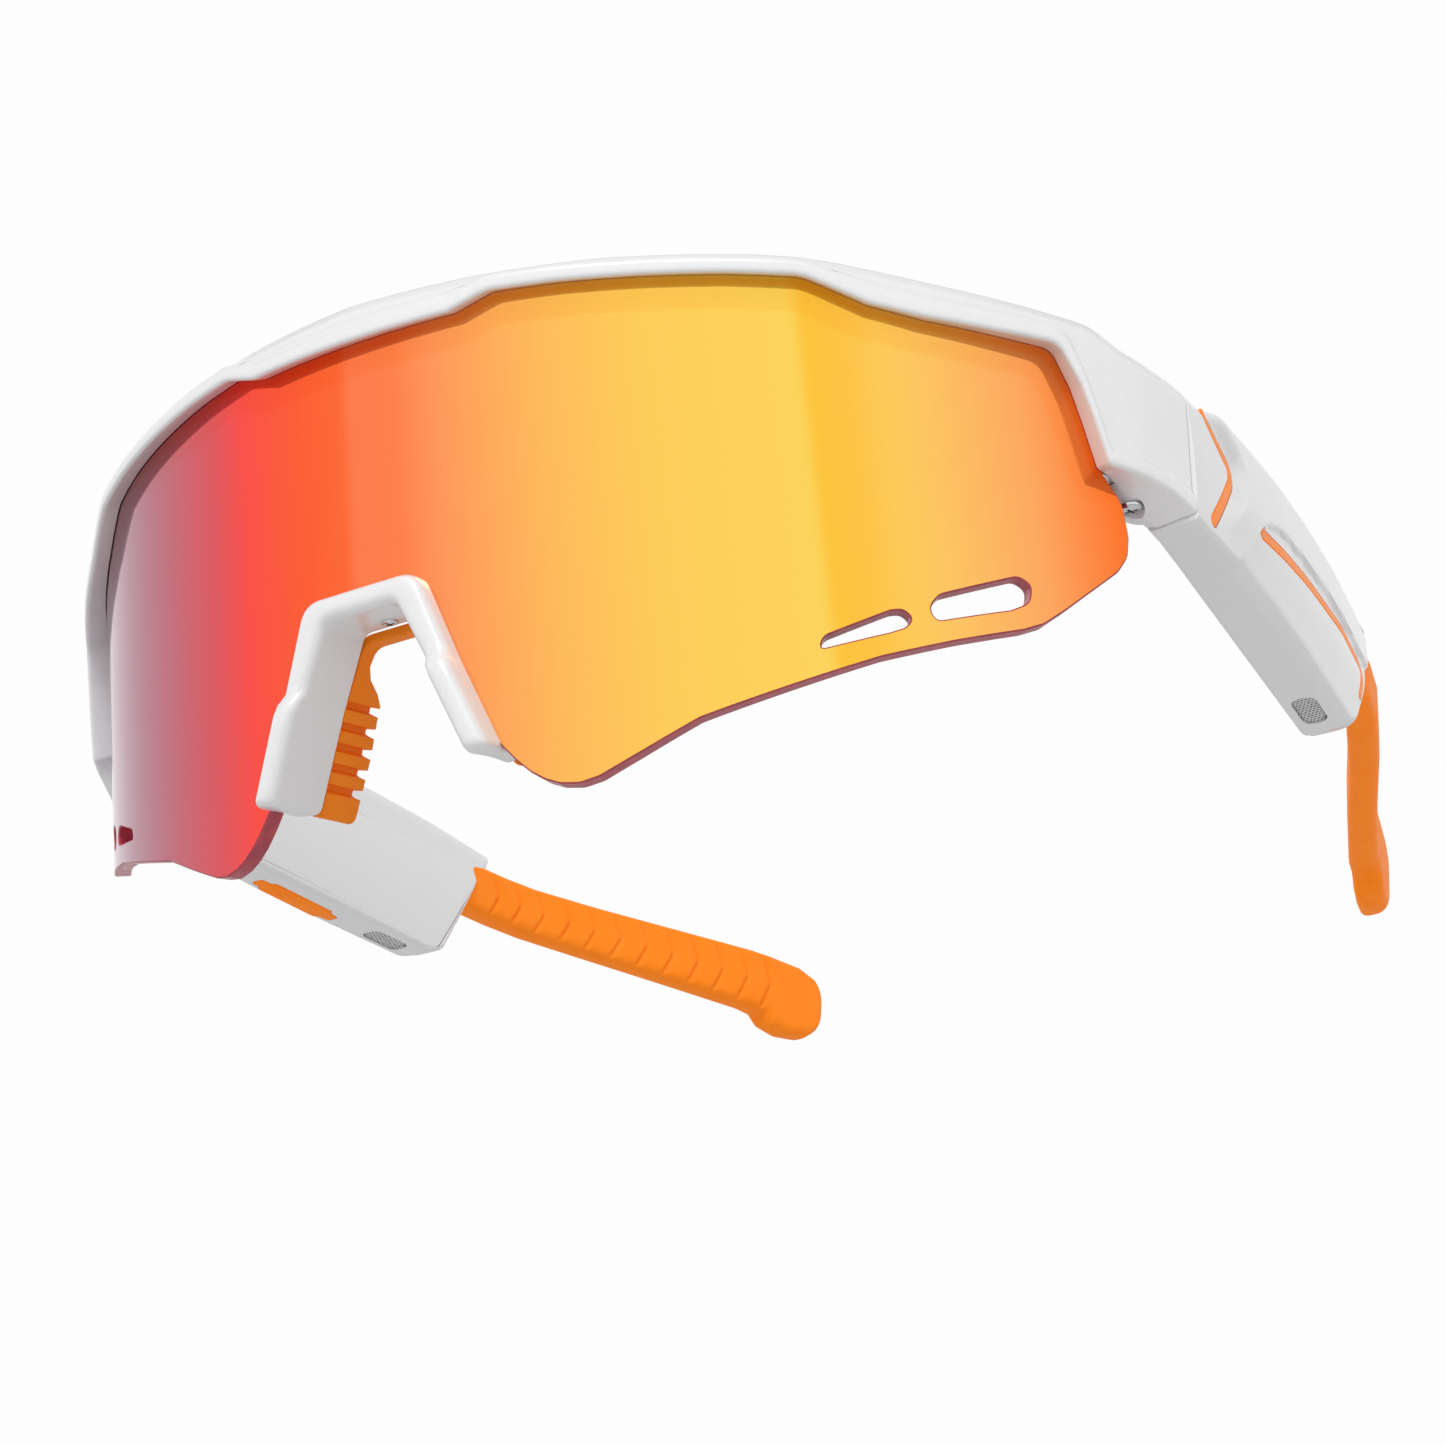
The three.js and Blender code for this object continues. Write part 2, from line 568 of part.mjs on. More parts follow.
function portWindow() {
  const middle = (armStation(32).inner + armStation(32).outer) / 2 + 0.3;
  return block(middle - 1.2, middle + 1.2, PORT.plugFront - 0.4, PORT.plugRear + 0.4, 0, COVER.low + 1.5);
}

function aheadOfSeam() {
  const far = 90;
  const outline = [[-far, -far], [seamY(-far) + GAP / 2, -far], [seamY(far) + GAP / 2, far], [-far, far]];
  return inArm(prismX(outline, 50, 90));
}

function caseBody(isRight) {
  const blank = loft(armYs(-4, 64).map((y) => armRing(y)));
  const tools = [
    aheadOfSeam(), armEndCutter(0), leafSlot(), coverPlate(0, -2, COVER.thickness + GAP), armPocket(),
    stripeGroove(CHEVRON), stripeGroove(STRIPE), grilleHole(), coreBody(GAP, 48, 70),
  ];
  if (isRight) tools.push(portRecess(), portWindow());
  return cut(blank, ...tools);
}

const coverBody = () => coverPlate(GAP, 0, COVER.thickness);

function leafBody() {
  const barrel = post(PIN.x, PIN.y, KNUCKLE.bottom, KNUCKLE.top, KNUCKLE.radius);
  const tongue = block(LEAF.inner, LEAF.outer, PIN.y, LEAF.end, KNUCKLE.bottom, KNUCKLE.top);
  return inArm(cut(join(barrel, tongue), post(PIN.x, PIN.y, 20, 45, KNUCKLE.bore)));
}

const POCKET = { clearance: 0.6, low: 3.4, high: 12 };
const BATTERY = { front: 11, rear: 24.5, thickness: 2.9 };
const BOARD = { front: 26, rear: 37.5, thickness: 0.8 };
const DRIVER = { y: 44.8, z: 7.9, basket: 4.2, basketDepth: 1.2, magnet: 2.6, depth: 2.4 };

const pocketX = (y) => armStation(y).inner + COVER.thickness + POCKET.clearance;

// Slab inside the pocket, standing beside the inner cover.
function pocketSlab({ front, rear, thickness }) {
  const ring = (y) => {
    const x = pocketX(y);
    const section = [[x, POCKET.low], [x + thickness, POCKET.low], [x + thickness, POCKET.high], [x, POCKET.high]];
    return section.map(([px, z]) => new THREE.Vector3(px, y, z));
  };
  return loft([ring(front), ring(rear)]);
}

function driverBody() {
  const basket = post(0, 0, 0, DRIVER.basketDepth, DRIVER.basket, 28);
  const magnet = post(0, 0, DRIVER.basketDepth - 0.2, DRIVER.depth, DRIVER.magnet, 28);
  return join(basket, magnet).rotateY(Math.PI / 2).translate(pocketX(DRIVER.y), DRIVER.y, DRIVER.z);
}

function tipRing(y) {
  const { x, half, low, high } = stationAt(TIP_STATIONS, y);
  const c = half * 0.6;
  return [[-half, low + c], [-half + c, low], [half - c, low], [half, low + c], [half, high - c],
    [half - c, high], [-half + c, high], [-half, high - c]].map(([dx, z]) => new THREE.Vector3(x + dx, y, z));
}

// Stiffener that runs from inside the case into the ear tip.
function coreBody(grow, from, to) {
  const { half, low, high } = TIP_CORE;
  return loft(placesAlong(TIP_STATIONS, from, to).map((y) => {
    const { x } = stationAt(TIP_STATIONS, y);
    return [[-half - grow, low - grow], [half + grow, low - grow], [half + grow, high + grow],
      [-half - grow, high + grow]].map(([dx, z]) => new THREE.Vector3(x + dx, y, z));
  }));
}

function tipBody() {
  const blank = loft([50, ...TIP_STATIONS.map((station) => station.y)].map(tipRing));
  const front = common(blank, armEndCutter(GAP));
  const underFloor = inArm(block(20, 80, 100, 170, -20, FLOOR_TRIM));
  return cut(front, coreBody(GAP, 40, TIP_CORE.rear + GAP), underFloor);
}

// ---------------------------------------------------------------- assembly

function frontGroup() {
  const group = new THREE.Group();
  group.add(named('front_frame', frontFrameBody(), WHITE()));
  group.add(named('shield_lens', lensBody(), MIRROR_LENS()));
  group.add(named('nose_bridge', bridgeBody(), WHITE()));
  group.add(named('nose_pad', nosePadBody(), ORANGE()));
  group.add(named('bridge_screw', bridgeScrewBody(), STEEL()));
  group.add(named('hinge_screw_left', hingeScrewBody(), STEEL()));
  group.add(named('hinge_screw_right', mirrored(hingeScrewBody()), STEEL()));
  return group;
}

function armGroup(side) {
  const isRight = side === 'right';
  const pieces = [
    ['case', caseBody(isRight), WHITE()],
    ['inner_cover', coverBody(), WHITE()],
    ['hinge_leaf', leafBody(), STEEL()],
    ['chevron_stripe', stripeBody(CHEVRON), ORANGE()],
    ['side_stripe', stripeBody(STRIPE), ORANGE()],
    ['speaker_grille', grilleBody(), SILVER()],
    ['speaker_driver', driverBody(), DARK()],
    ['battery', pocketSlab(BATTERY), SILVER()],
    ['circuit_board', pocketSlab(BOARD), GREEN()],
    ['tip_core', coreBody(0, TIP_CORE.front, TIP_CORE.rear), STEEL()],
    ['ear_tip', tipBody(), ORANGE()],
  ];
  if (isRight) pieces.push(['port_cover', portCoverBody(), ORANGE()]);
  const group = new THREE.Group();
  group.position.set(0, ARM.y, ARM.z);
  group.rotation.x = -droop;
  for (const [name, geometry, material] of pieces) {
    group.add(named(`${side}_${name}`, isRight ? mirrored(geometry) : geometry, material));
  }
  return group;
}

const glasses = new THREE.Group();
glasses.add(frontGroup(), armGroup('left'), armGroup('right'));

// The origin goes to the middle of the footprint, on the surface that the glasses rest on.
glasses.updateMatrixWorld(true);
const bounds = new THREE.Box3().setFromObject(glasses, true);
const middle = bounds.getCenter(new THREE.Vector3());
glasses.position.set(-middle.x, -middle.y, -bounds.min.z);

export default glasses;
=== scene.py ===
import math

import bmesh
import bpy
from mathutils import Matrix, Vector
from mathutils.geometry import delaunay_2d_cdt, intersect_point_line


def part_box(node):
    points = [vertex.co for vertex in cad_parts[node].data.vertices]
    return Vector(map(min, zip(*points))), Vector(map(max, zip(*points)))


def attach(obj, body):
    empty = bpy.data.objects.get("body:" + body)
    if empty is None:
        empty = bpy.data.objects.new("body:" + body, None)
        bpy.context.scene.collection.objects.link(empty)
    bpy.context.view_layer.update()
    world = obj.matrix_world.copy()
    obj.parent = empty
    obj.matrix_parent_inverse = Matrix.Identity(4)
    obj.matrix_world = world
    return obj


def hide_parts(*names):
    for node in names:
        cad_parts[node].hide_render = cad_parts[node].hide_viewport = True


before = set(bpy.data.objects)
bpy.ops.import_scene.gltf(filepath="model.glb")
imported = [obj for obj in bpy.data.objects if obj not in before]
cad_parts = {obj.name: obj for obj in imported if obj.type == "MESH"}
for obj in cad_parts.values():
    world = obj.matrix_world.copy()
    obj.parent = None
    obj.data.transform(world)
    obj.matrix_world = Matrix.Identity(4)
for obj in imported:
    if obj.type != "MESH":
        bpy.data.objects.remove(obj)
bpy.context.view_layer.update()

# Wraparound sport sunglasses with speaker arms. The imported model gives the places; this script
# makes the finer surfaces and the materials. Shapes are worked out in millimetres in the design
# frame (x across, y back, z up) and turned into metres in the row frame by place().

MM = 0.001
SIDES = {"left": 1, "right": -1}

# ---- driving sizes, in mm

# The hinge pin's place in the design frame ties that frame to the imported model.
PIN = {"x": 70, "y": 39.4, "bottom": 25.5, "hole": 1.5, "hole_depth": 0.9}
KNUCKLE = {"radius": 2.6, "bottom": 28.2, "top": 34.2}
pin_low, pin_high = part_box("hinge_screw_left")
ORIGIN = Vector((0, (pin_low.y + pin_high.y) / 2 / MM - PIN["y"], pin_low.z / MM - PIN["bottom"]))

# The lens is part of a cylinder: arc length s from the middle, height t along its axis, radius r.
LENS = {"radius": 82, "thickness": 2, "tilt": math.radians(2.8), "y": -3.262, "z": 10.642}
LENS_TUCK = 1.3                     # lens hidden inside the frame's groove
LENS_CHAMFER = 0.16
LENS_GRID = {"step": 2, "columns": range(-42, 43), "rows": range(-6, 24)}
LENS_CLEAR = 0.45                   # no inner mesh point comes closer than this to an outline
LENS_ROWS = (0.1, 0.6, 1.2, 2.6, 3.6)   # rows of mesh points below the frame's edge
# Arc lengths at which the frame's groove lets go of the lens; the coating's one is where the painted shade
# of the frame on the lens stops.
TUCK_END = {"rim": 81.4, "edge": 82.6, "coating": 81.7}
RIM_REACH = 10                      # the painted shade of the frame on the lens knows the distance to the frame up to here
LENS_LOWER = [(0, 14.6), (5.2, 14.6), (7.2, 13), (11.2, 4.4), (14.6, -3.8), (17, -6.7), (18.6, -8.3),
              (20.2, -9.4), (21.8, -10.1), (23.9, -10.4), (26.1, -10), (30.3, -8.2), (37, -5.2), (45, -3.1),
              (56, -0.2), (64, 1.3), (71.4, 2.5), (73.7, 3.2), (76.4, 4.9), (82.9, 9.4), (84.3, 11.2),
              (84.7, 13.5), (84.3, 17.2), (83.2, 19), (82.4, 20.3)]
VENT_ROUND = 1.4
VENTS = [
    [(49.7, 1), (57, 2.4), (58.8, 2.9), (59.5, 3.8), (58.6, 4.8), (57.3, 4.7), (50.2, 2.3)],
    [(62, 3.5), (70.2, 4.7), (72.2, 5.5), (72.6, 7.4), (71.2, 8.3), (62.6, 6.3), (61.4, 5)],
]

# Lower and upper edge of the frame, as (s, t), and its outer radius along s.
RIM_LOWER = [(0, 43.2), (13.2, 43.2), (17.8, 44.6), (25.3, 44.1), (34, 43.3), (43, 42.4), (51, 41.4),
             (57.5, 37.9), (63.2, 36.2), (70.7, 34.7), (77.2, 33.5), (79.2, 29), (80.2, 25.4),
             (81.5, 20), (85.7, 19.2), (89.2, 17.8), (92.1, 15.8), (97.5, 11.6)]
RIM_UPPER = [(0, 48.3), (15, 47.7), (29.5, 46.8), (39.5, 45.8), (46, 45.1), (51, 44.4), (55, 43.5),
             (60, 42.2), (66.7, 40.5), (74.2, 38.7), (81.5, 36.8), (85.4, 34.1), (90.2, 32), (97.5, 28.2)]
RIM_OUTER = [(0, 84), (60, 84), (70, 84.4), (80, 85), (85, 85), (90, 84.6), (98, 84)]
RIM_INNER = 77.4
HEEL = {"radius": 80.4, "drop": 1.9, "starts": 83.2, "full": 86}
SEAM = {"y": 42.5, "z": 24.2, "lean": 1.2 / 14.1}
SEAM_HALF = 0.07                    # half of the gap in the seam between frame and arm

# Arms: x across, y along and z square to it, turned down about the point at (0, y, z).
ARM = {"y": 40, "z": 24.5, "droop": math.radians(16.4)}
ARM_INNER = [(-4, 70.3), (4, 69.9), (9.5, 69.3), (16, 68.5), (64, 62.7)]
ARM_OUTER = [(-4, 76.4), (4, 76.1), (9.5, 75.9), (16, 75.5), (26, 74.5), (36, 73.1), (46, 71.5),
             (56, 69.8), (64, 68.3)]
ARM_CREST = [(-4, 76.3), (4, 75.8), (9.5, 74.8), (16, 73.9), (26, 72.7), (36, 71.1), (46, 69.4),
             (56, 67.4), (64, 65.7)]
ARM_HEIGHT = [(-4, 14.1), (4, 14.7), (9.5, 16.6), (16, 17.6), (26, 18.5), (36, 19.2), (46, 19.2),
              (56, 18.6), (64, 17.4)]
ARM_END = {"bottom": 53, "slope": 8.3 / 17, "round": 3}
# Roundings of the case. Its lower outer edge is softer behind low_from, over a length of low_run.
CASE = {"rings": 150, "middle": 8, "front": 0.1, "end": 0.9, "crest": 1.5,
        "inner_top": 1.6, "inner_low": 0.9, "low": 0.7, "low_more": 1.5, "low_from": 11, "low_run": 4}
# The outer face bulges, steps outward behind the chevron stripe and is recessed around the long one.
FACE = {"bulge": 0.25, "step": 1.05, "step_from": 0.75, "step_run": 2.2, "recess": 0.5, "recess_run": 0.6}
CHEVRON = [(6.4, 1.8), (11.4, 9.4), (11.4, 11.4), (4.1, 14.3)]
STRIPE = [(19.4, 7.4), (33.4, 9.5), (48.2, 10.9), (55.8, 9.9), (54.4, 5.6)]
# Half width of each stripe, by the share of its length.
CHEVRON_HALF = [(0, 0.7), (0.45, 0.64), (1, 0.46)]
STRIPE_HALF = [(0, 0.66), (0.8, 0.6), (1, 0.4)]
STRIPES = [("bent_stripe", "chevron_stripe", CHEVRON, CHEVRON_HALF),
           ("long_stripe", "side_stripe", STRIPE, STRIPE_HALF)]
INLAY_PROUD = 0.03
INLAY_DEPTH = 0.3
INLAY_GAP = 0.09
PANEL_FRONT = [(12.2, -2), (12.6, 0), (15.6, 3.6), (18.2, 7.6), (20.2, 9.2)]
PANEL_TOP = [(20.2, 9.2), (24.6, 10.9), (34, 12.2), (48, 12.9), (57, 11.8), (70, 9)]
COVER = {"front": 8.6, "rear": 52, "low": 1.05, "high": 14.2, "gap": 0.11}
# The grille's hole is a share of its pitch.
GRILLE = {"y": 45.7, "length": 6, "width": 3, "pitch": 0.44, "hole": 0.38, "level": 0.18, "thickness": 0.15,
          "inward": 0.7, "round": 1.5, "gap": 0.05, "depth": 0.9}
PORT = {"front": 23.9, "rear": 37.4, "half": 1.6, "proud": 0.1, "neck": 0.62, "outward": 0.2, "gap": 0.07}

TIP_CENTRE = [(50, 67.6), (57.6, 66), (64, 64.6), (69, 63), (78, 58.9), (89, 53.3), (100, 48.1),
              (112.4, 43.9)]
TIP_LOW = [(50, 9.4), (64, 9.4), (78, 9.2), (89, 8.8), (101, 8.5), (103, 8.3), (104.4, 6.9), (107, 6.4),
           (110, 6.9), (112.4, 9)]
TIP_HIGH = [(50, 16.4), (69, 16.4), (89, 16.8), (103, 17.3), (108, 17.2), (110.6, 16.3), (112.4, 14)]
TIP = {"front": 51, "rear": 112.2, "half": 2.1, "rings": 300, "end": 1.2, "end_inset": 1.6}
TIP_GROOVES = {"count": 12, "first": 61.5, "pitch": 3.65, "depth": 0.45, "half": 0.5, "bend": 1.5}

# Inner and outer outline of the bridge and its front face, by height.
BRIDGE_INNER = [(12.4, 5.9), (8.4, 15.6), (4.7, 23.5)]
BRIDGE_OUTER = [(15.3, 6.2), (11.4, 15.8), (7.5, 26.4)]
BRIDGE_FRONT = [(5, -5.4), (15.3, -5.7), (16.6, -4.5), (28, -4.4)]
BRIDGE_REAR = 3.2
FOOT = {"lean": 0.3, "down": 0.95, "round": 0.9}    # how the feet of the bridge and the pad close
PAD_REAR = [(4, 8.9), (6, 9.3), (12, 9.5), (17.1, 9), (18.2, 8), (19.4, 6.2), (20.6, 5.5), (22.6, 5.8)]
PAD = {"front": 3.4, "thickness": 2.4, "arch": 22.9, "rib_low": 7.55, "rib_high": 16.9, "pitch": 2.12,
       "groove": 0.85, "depth": 0.85, "groove_edge": 0.12, "rear_cut": 0.6, "arch_share": 0.45}
PAD_INNER = [(12.7, 5.7), (8.7, 15.6), (5.3, 22.5)]
PIVOT_HEAD = {"radius": 1.25, "height": 0.7}
BRIDGE_HEAD = {"y": 1.2, "bottom": 23.1, "radius": 0.95, "height": 0.45}
# The cross recess's arm and half width are shares of the head's radius.
RECESS = {"arm": 0.62, "half": 0.14, "depth": 0.3}
SAME_POINT = 0.04                   # points closer than this count as one
NODE_BEVEL = 0.12                   # edge softening of the pieces that keep their CAD shape

# ---- small helpers


def place(point):
    """Design frame in mm to row frame in metres."""
    return (point + ORIGIN) * MM


def value_at(line, along):
    """Height of a polyline of (along, value) pairs at one place along it."""
    if along <= line[0][0]:
        return line[0][1]
    for (a, low), (b, high) in zip(line, line[1:]):
        if along <= b:
            return low + (high - low) * (along - a) / (b - a)
    return line[-1][1]


def smooth(share):
    share = min(1, max(0, share))
    return share * share * (3 - 2 * share)


def rounded(points, radii, arc=5, side=1, closed=False):
    """An outline with its corners turned into curves. Its size doesn't change how many points it has."""
    points = [Vector(p) for p in points]
    count = len(points)
    curves = []
    for i, corner in enumerate(points):
        if not closed and i in (0, count - 1):
            curves.append([corner])
            continue
        back = points[i - 1] - corner
        ahead = points[(i + 1) % count] - corner
        radius = radii[i] if isinstance(radii, (list, tuple)) else radii
        reach = radius / math.tan(max(0.2, back.angle(ahead) / 2))
        reach = min(reach, 0.48 * back.length, 0.48 * ahead.length)
        start = corner + back.normalized() * reach
        end = corner + ahead.normalized() * reach
        shares = [k / arc for k in range(arc + 1)]
        curves.append([start.lerp(corner, k).lerp(corner.lerp(end, k), k) for k in shares])
    result = []
    for i, curve in enumerate(curves):
        result += curve
        if closed or i < count - 1:
            goal = curves[(i + 1) % count][0]
            result += [curve[-1].lerp(goal, k / side) for k in range(1, side)]
    return result


def offset_line(line, distance, closed=False):
    """The line moved to the left of the way that it runs. In a closed outline that is inward."""
    count = len(line)
    result = []
    for i, point in enumerate(line):
        if closed:
            ahead = line[(i + 1) % count] - line[i - 1]
        else:
            ahead = line[min(i + 1, count - 1)] - line[max(i - 1, 0)]
        result.append(point + Vector((-ahead.y, ahead.x)).normalized() * distance)
    return result


def resampled(line, step):
    """Points at even distances along a line, and how far along each one is."""
    result = [(0, line[0].copy())]
    total = 0
    last = line[0]
    for point in line[1:]:
        length = (point - last).length
        if length < SAME_POINT:
            continue
        parts = math.ceil(length / step)
        for k in range(1, parts + 1):
            result.append((total + length * k / parts, last.lerp(point, k / parts)))
        total += length
        last = point
    return result


def even(outline, step):
    return [point for _, point in resampled(outline, step)]


def mirrored(ring):
    return [Vector((-p.x, *p[1:])) for p in ring]


def loft(rings):
    """Points and faces of a body through rings with equal numbers of points."""
    count = len(rings[0])
    faces = []
    for k in range(len(rings) - 1):
        for i in range(count):
            a = k * count + i
            b = k * count + (i + 1) % count
            faces.append((a, b, b + count, a + count))
    faces.append(tuple(reversed(range(count))))
    faces.append(tuple(range((len(rings) - 1) * count, len(rings) * count)))
    return [p for ring in rings for p in ring], faces


def round_end(ring, outward, radius, steps=4):
    """Rings that close the end of a body with a rounded edge."""
    middle = sum(ring, Vector()) / len(ring)
    rings = []
    for k in range(1, steps + 1):
        turn = k / steps * math.pi / 2
        push = outward * radius * math.sin(turn)
        inset = radius * (1 - math.cos(turn))
        rings.append([p + push + (middle - p).normalized() * inset for p in ring])
    return rings


def shade(obj, angle=38):
    obj.data.shade_smooth()
    obj.data.set_sharp_from_angle(angle=math.radians(angle))


def add_object(name, data):
    obj = bpy.data.objects.new(name, data)
    bpy.context.scene.collection.objects.link(obj)
    return obj


def mesh_object(name, points, faces, materials, side=1, merge=False):
    """A mesh object from design-frame points, mirrored for side -1."""
    mesh = bpy.data.meshes.new(name)
    mesh.from_pydata([place(Vector((side * p.x, p.y, p.z))) for p in points], [], faces)
    for material in materials:
        mesh.materials.append(material)
    shell = bmesh.new()
    shell.from_mesh(mesh)
    if merge:
        bmesh.ops.remove_doubles(shell, verts=shell.verts, dist=1e-7)
    bmesh.ops.recalc_face_normals(shell, faces=shell.faces)
    shell.to_mesh(mesh)
    shell.free()
    return add_object(name, mesh)


def build(name, points, faces, materials, side=1):
    """A mesh object whose equal points are joined and whose hard edges stay sharp."""
    obj = mesh_object(name, points, faces, materials, side, merge=True)
    shade(obj)
    return obj


def carve(target, *cutters):
    """Takes the cutters out of the target and removes them."""
    for cutter in cutters:
        modifier = target.modifiers.new("carve", "BOOLEAN")
        modifier.operation = "DIFFERENCE"
        modifier.solver = "EXACT"
        modifier.object = cutter
        graph = bpy.context.evaluated_depsgraph_get()
        mesh = bpy.data.meshes.new_from_object(target.evaluated_get(graph))
        target.modifiers.clear()
        target.data = mesh
        bpy.data.objects.remove(cutter)
    shade(target)


def prism(outline, low, high, axis, side=1):
    """A plain cutter: an outline swept along x or z in the design frame."""
    def point(u, v, w):
        return Vector((w, u, v) if axis == "x" else (u, v, w))
    rings = [[point(u, v, w) for u, v in outline] for w in (low, high)]
    return build("cutter", *loft(rings), [], side)


def finish_piece(obj, body, slot, *nodes):
    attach(obj, body)
    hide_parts(*nodes)


# ---- materials


def rgb(red, green, blue):
    """Display colour, 0 to 255, as the linear colour that shaders take."""
    def linear(level):
        level /= 255
        return level / 12.92 if level <= 0.04045 else ((level + 0.055) / 1.055) ** 2.4
    return (linear(red), linear(green), linear(blue), 1)


NOISE_MIDDLE = (0.3, 0.7)           # where nearly all values of a noise lie


def set_stops(ramp, stops):
    """Give a colour ramp its (position, colour) stops."""
    while len(ramp.elements) < len(stops):
        ramp.elements.new(0.5)
    for element, (position, colour) in zip(ramp.elements, stops):
        element.position = position
        element.color = colour


class Surface:
    """A principled material and the node steps that these materials share."""

    def __init__(self, name, **sockets):
        self.material = bpy.data.materials.new(name)
        self.material.use_nodes = True
        self.nodes = self.material.node_tree.nodes
        self.shader = self.nodes["Principled BSDF"]
        self.place = self.nodes.new("ShaderNodeTexCoord").outputs["Object"]
        for socket, value in sockets.items():
            self.shader.inputs[socket.replace("_", " ")].default_value = value

    def link(self, source, target):
        self.material.node_tree.links.new(source, target)

    def noise(self, scale, detail=3):
        node = self.nodes.new("ShaderNodeTexNoise")
        node.inputs["Scale"].default_value = scale
        node.inputs["Detail"].default_value = detail
        self.link(self.place, node.inputs["Vector"])
        return node.outputs["Fac"]

    def ramp(self, source, stops):
        node = self.nodes.new("ShaderNodeValToRGB")
        set_stops(node.color_ramp, stops)
        self.link(source, node.inputs["Fac"])
        return node.outputs["Color"]

    def remapped(self, source, source_range, low=0, high=1):
        """A range of the source's values, stretched to low..high."""
        node = self.nodes.new("ShaderNodeMapRange")
        values = {"From Min": source_range[0], "From Max": source_range[1], "To Min": low, "To Max": high}
        for socket, value in values.items():
            node.inputs[socket].default_value = value
        self.link(source, node.inputs["Value"])
        return node.outputs["Result"]

    def mottled(self, scale, dark, light):
        colour = self.ramp(self.noise(scale), list(zip(NOISE_MIDDLE, (dark, light))))
        self.link(colour, self.shader.inputs["Base Color"])
        return self

    def uneven(self, scale, low, high):
        self.link(self.remapped(self.noise(scale), NOISE_MIDDLE, low, high), self.shader.inputs["Roughness"])
        return self

    def bumpy(self, scale, depth, strength=1.0, detail=3):
        node = self.nodes.new("ShaderNodeBump")
        node.inputs["Strength"].default_value = strength
        node.inputs["Distance"].default_value = depth * MM
        self.link(self.noise(scale, detail), node.inputs["Height"])
        self.link(node.outputs["Normal"], self.shader.inputs["Normal"])
        return self


def white_pearl():
    """Satin pearl plastic with a very fine mica speckle."""
    surface = Surface("white_pearl", Coat_Weight=0.8, Coat_Roughness=0.16, IOR=1.5)
    surface.mottled(5200, rgb(232, 232, 234), rgb(238, 238, 239))
    surface.uneven(900, 0.28, 0.36)
    return surface.bumpy(1500, 0.003, 0.2).material


# Painted glow: an orange emission that keeps the orange parts bright where they are in shade, though they
# are no lamps.
PAINTED_GLOW_COLOUR = (1, 0.2, 0.008, 1)
PAINTED_GLOW = 0.14


def orange_rubber(name, painted_glow):
    """Soft-touch orange silicone: matte, with a fine moulded grain and a faint painted glow that keeps it
    bright in shade.
    """
    surface = Surface(name, Specular_IOR_Level=0.25, IOR=1.42,
                      Emission_Color=PAINTED_GLOW_COLOUR, Emission_Strength=painted_glow)
    surface.mottled(260, rgb(255, 134, 14), rgb(255, 140, 24))
    surface.uneven(700, 0.48, 0.62)
    return surface.bumpy(1900, 0.012, 0.6).material


def orange_inlay():
    """Satin plastic of the stripes, with the same faint painted glow that keeps it bright in shade."""
    surface = Surface("orange_inlay", Specular_IOR_Level=0.35,
                      Emission_Color=PAINTED_GLOW_COLOUR, Emission_Strength=PAINTED_GLOW)
    surface.mottled(420, rgb(255, 136, 20), rgb(255, 143, 30))
    surface.uneven(800, 0.34, 0.46)
    return surface.bumpy(2200, 0.004, 0.4).material


# Colour of the mirror coating, by angle round the lens from the wearer's right to the left.
# The quick changes at about -1° and between 35° and 42° are painted reflections of the studio's soft boxes;
# the rest is the coating's own colour.
COATING_AND_PAINTED_REFLECTIONS = [(-59, (150, 124, 156)), (-41, (165, 112, 134)), (-33, (165, 98, 120)), (-25, (188, 92, 110)),
           (-17, (222, 80, 88)), (-12.5, (252, 76, 68)), (-6, (254, 94, 50)), (-1.7, (254, 106, 54)),
           (-0.7, (255, 124, 78)), (3.5, (255, 129, 74)), (7, (255, 151, 92)), (16.5, (255, 189, 92)),
           (24, (255, 206, 91)), (35.3, (254, 213, 92)), (36.3, (254, 197, 60)), (39, (254, 197, 70)),
           (41.8, (255, 204, 91)), (45, (254, 197, 99)), (52, (254, 169, 98)), (56, (255, 140, 70)),
           (59, (255, 118, 45))]
COATING_SPAN = 60


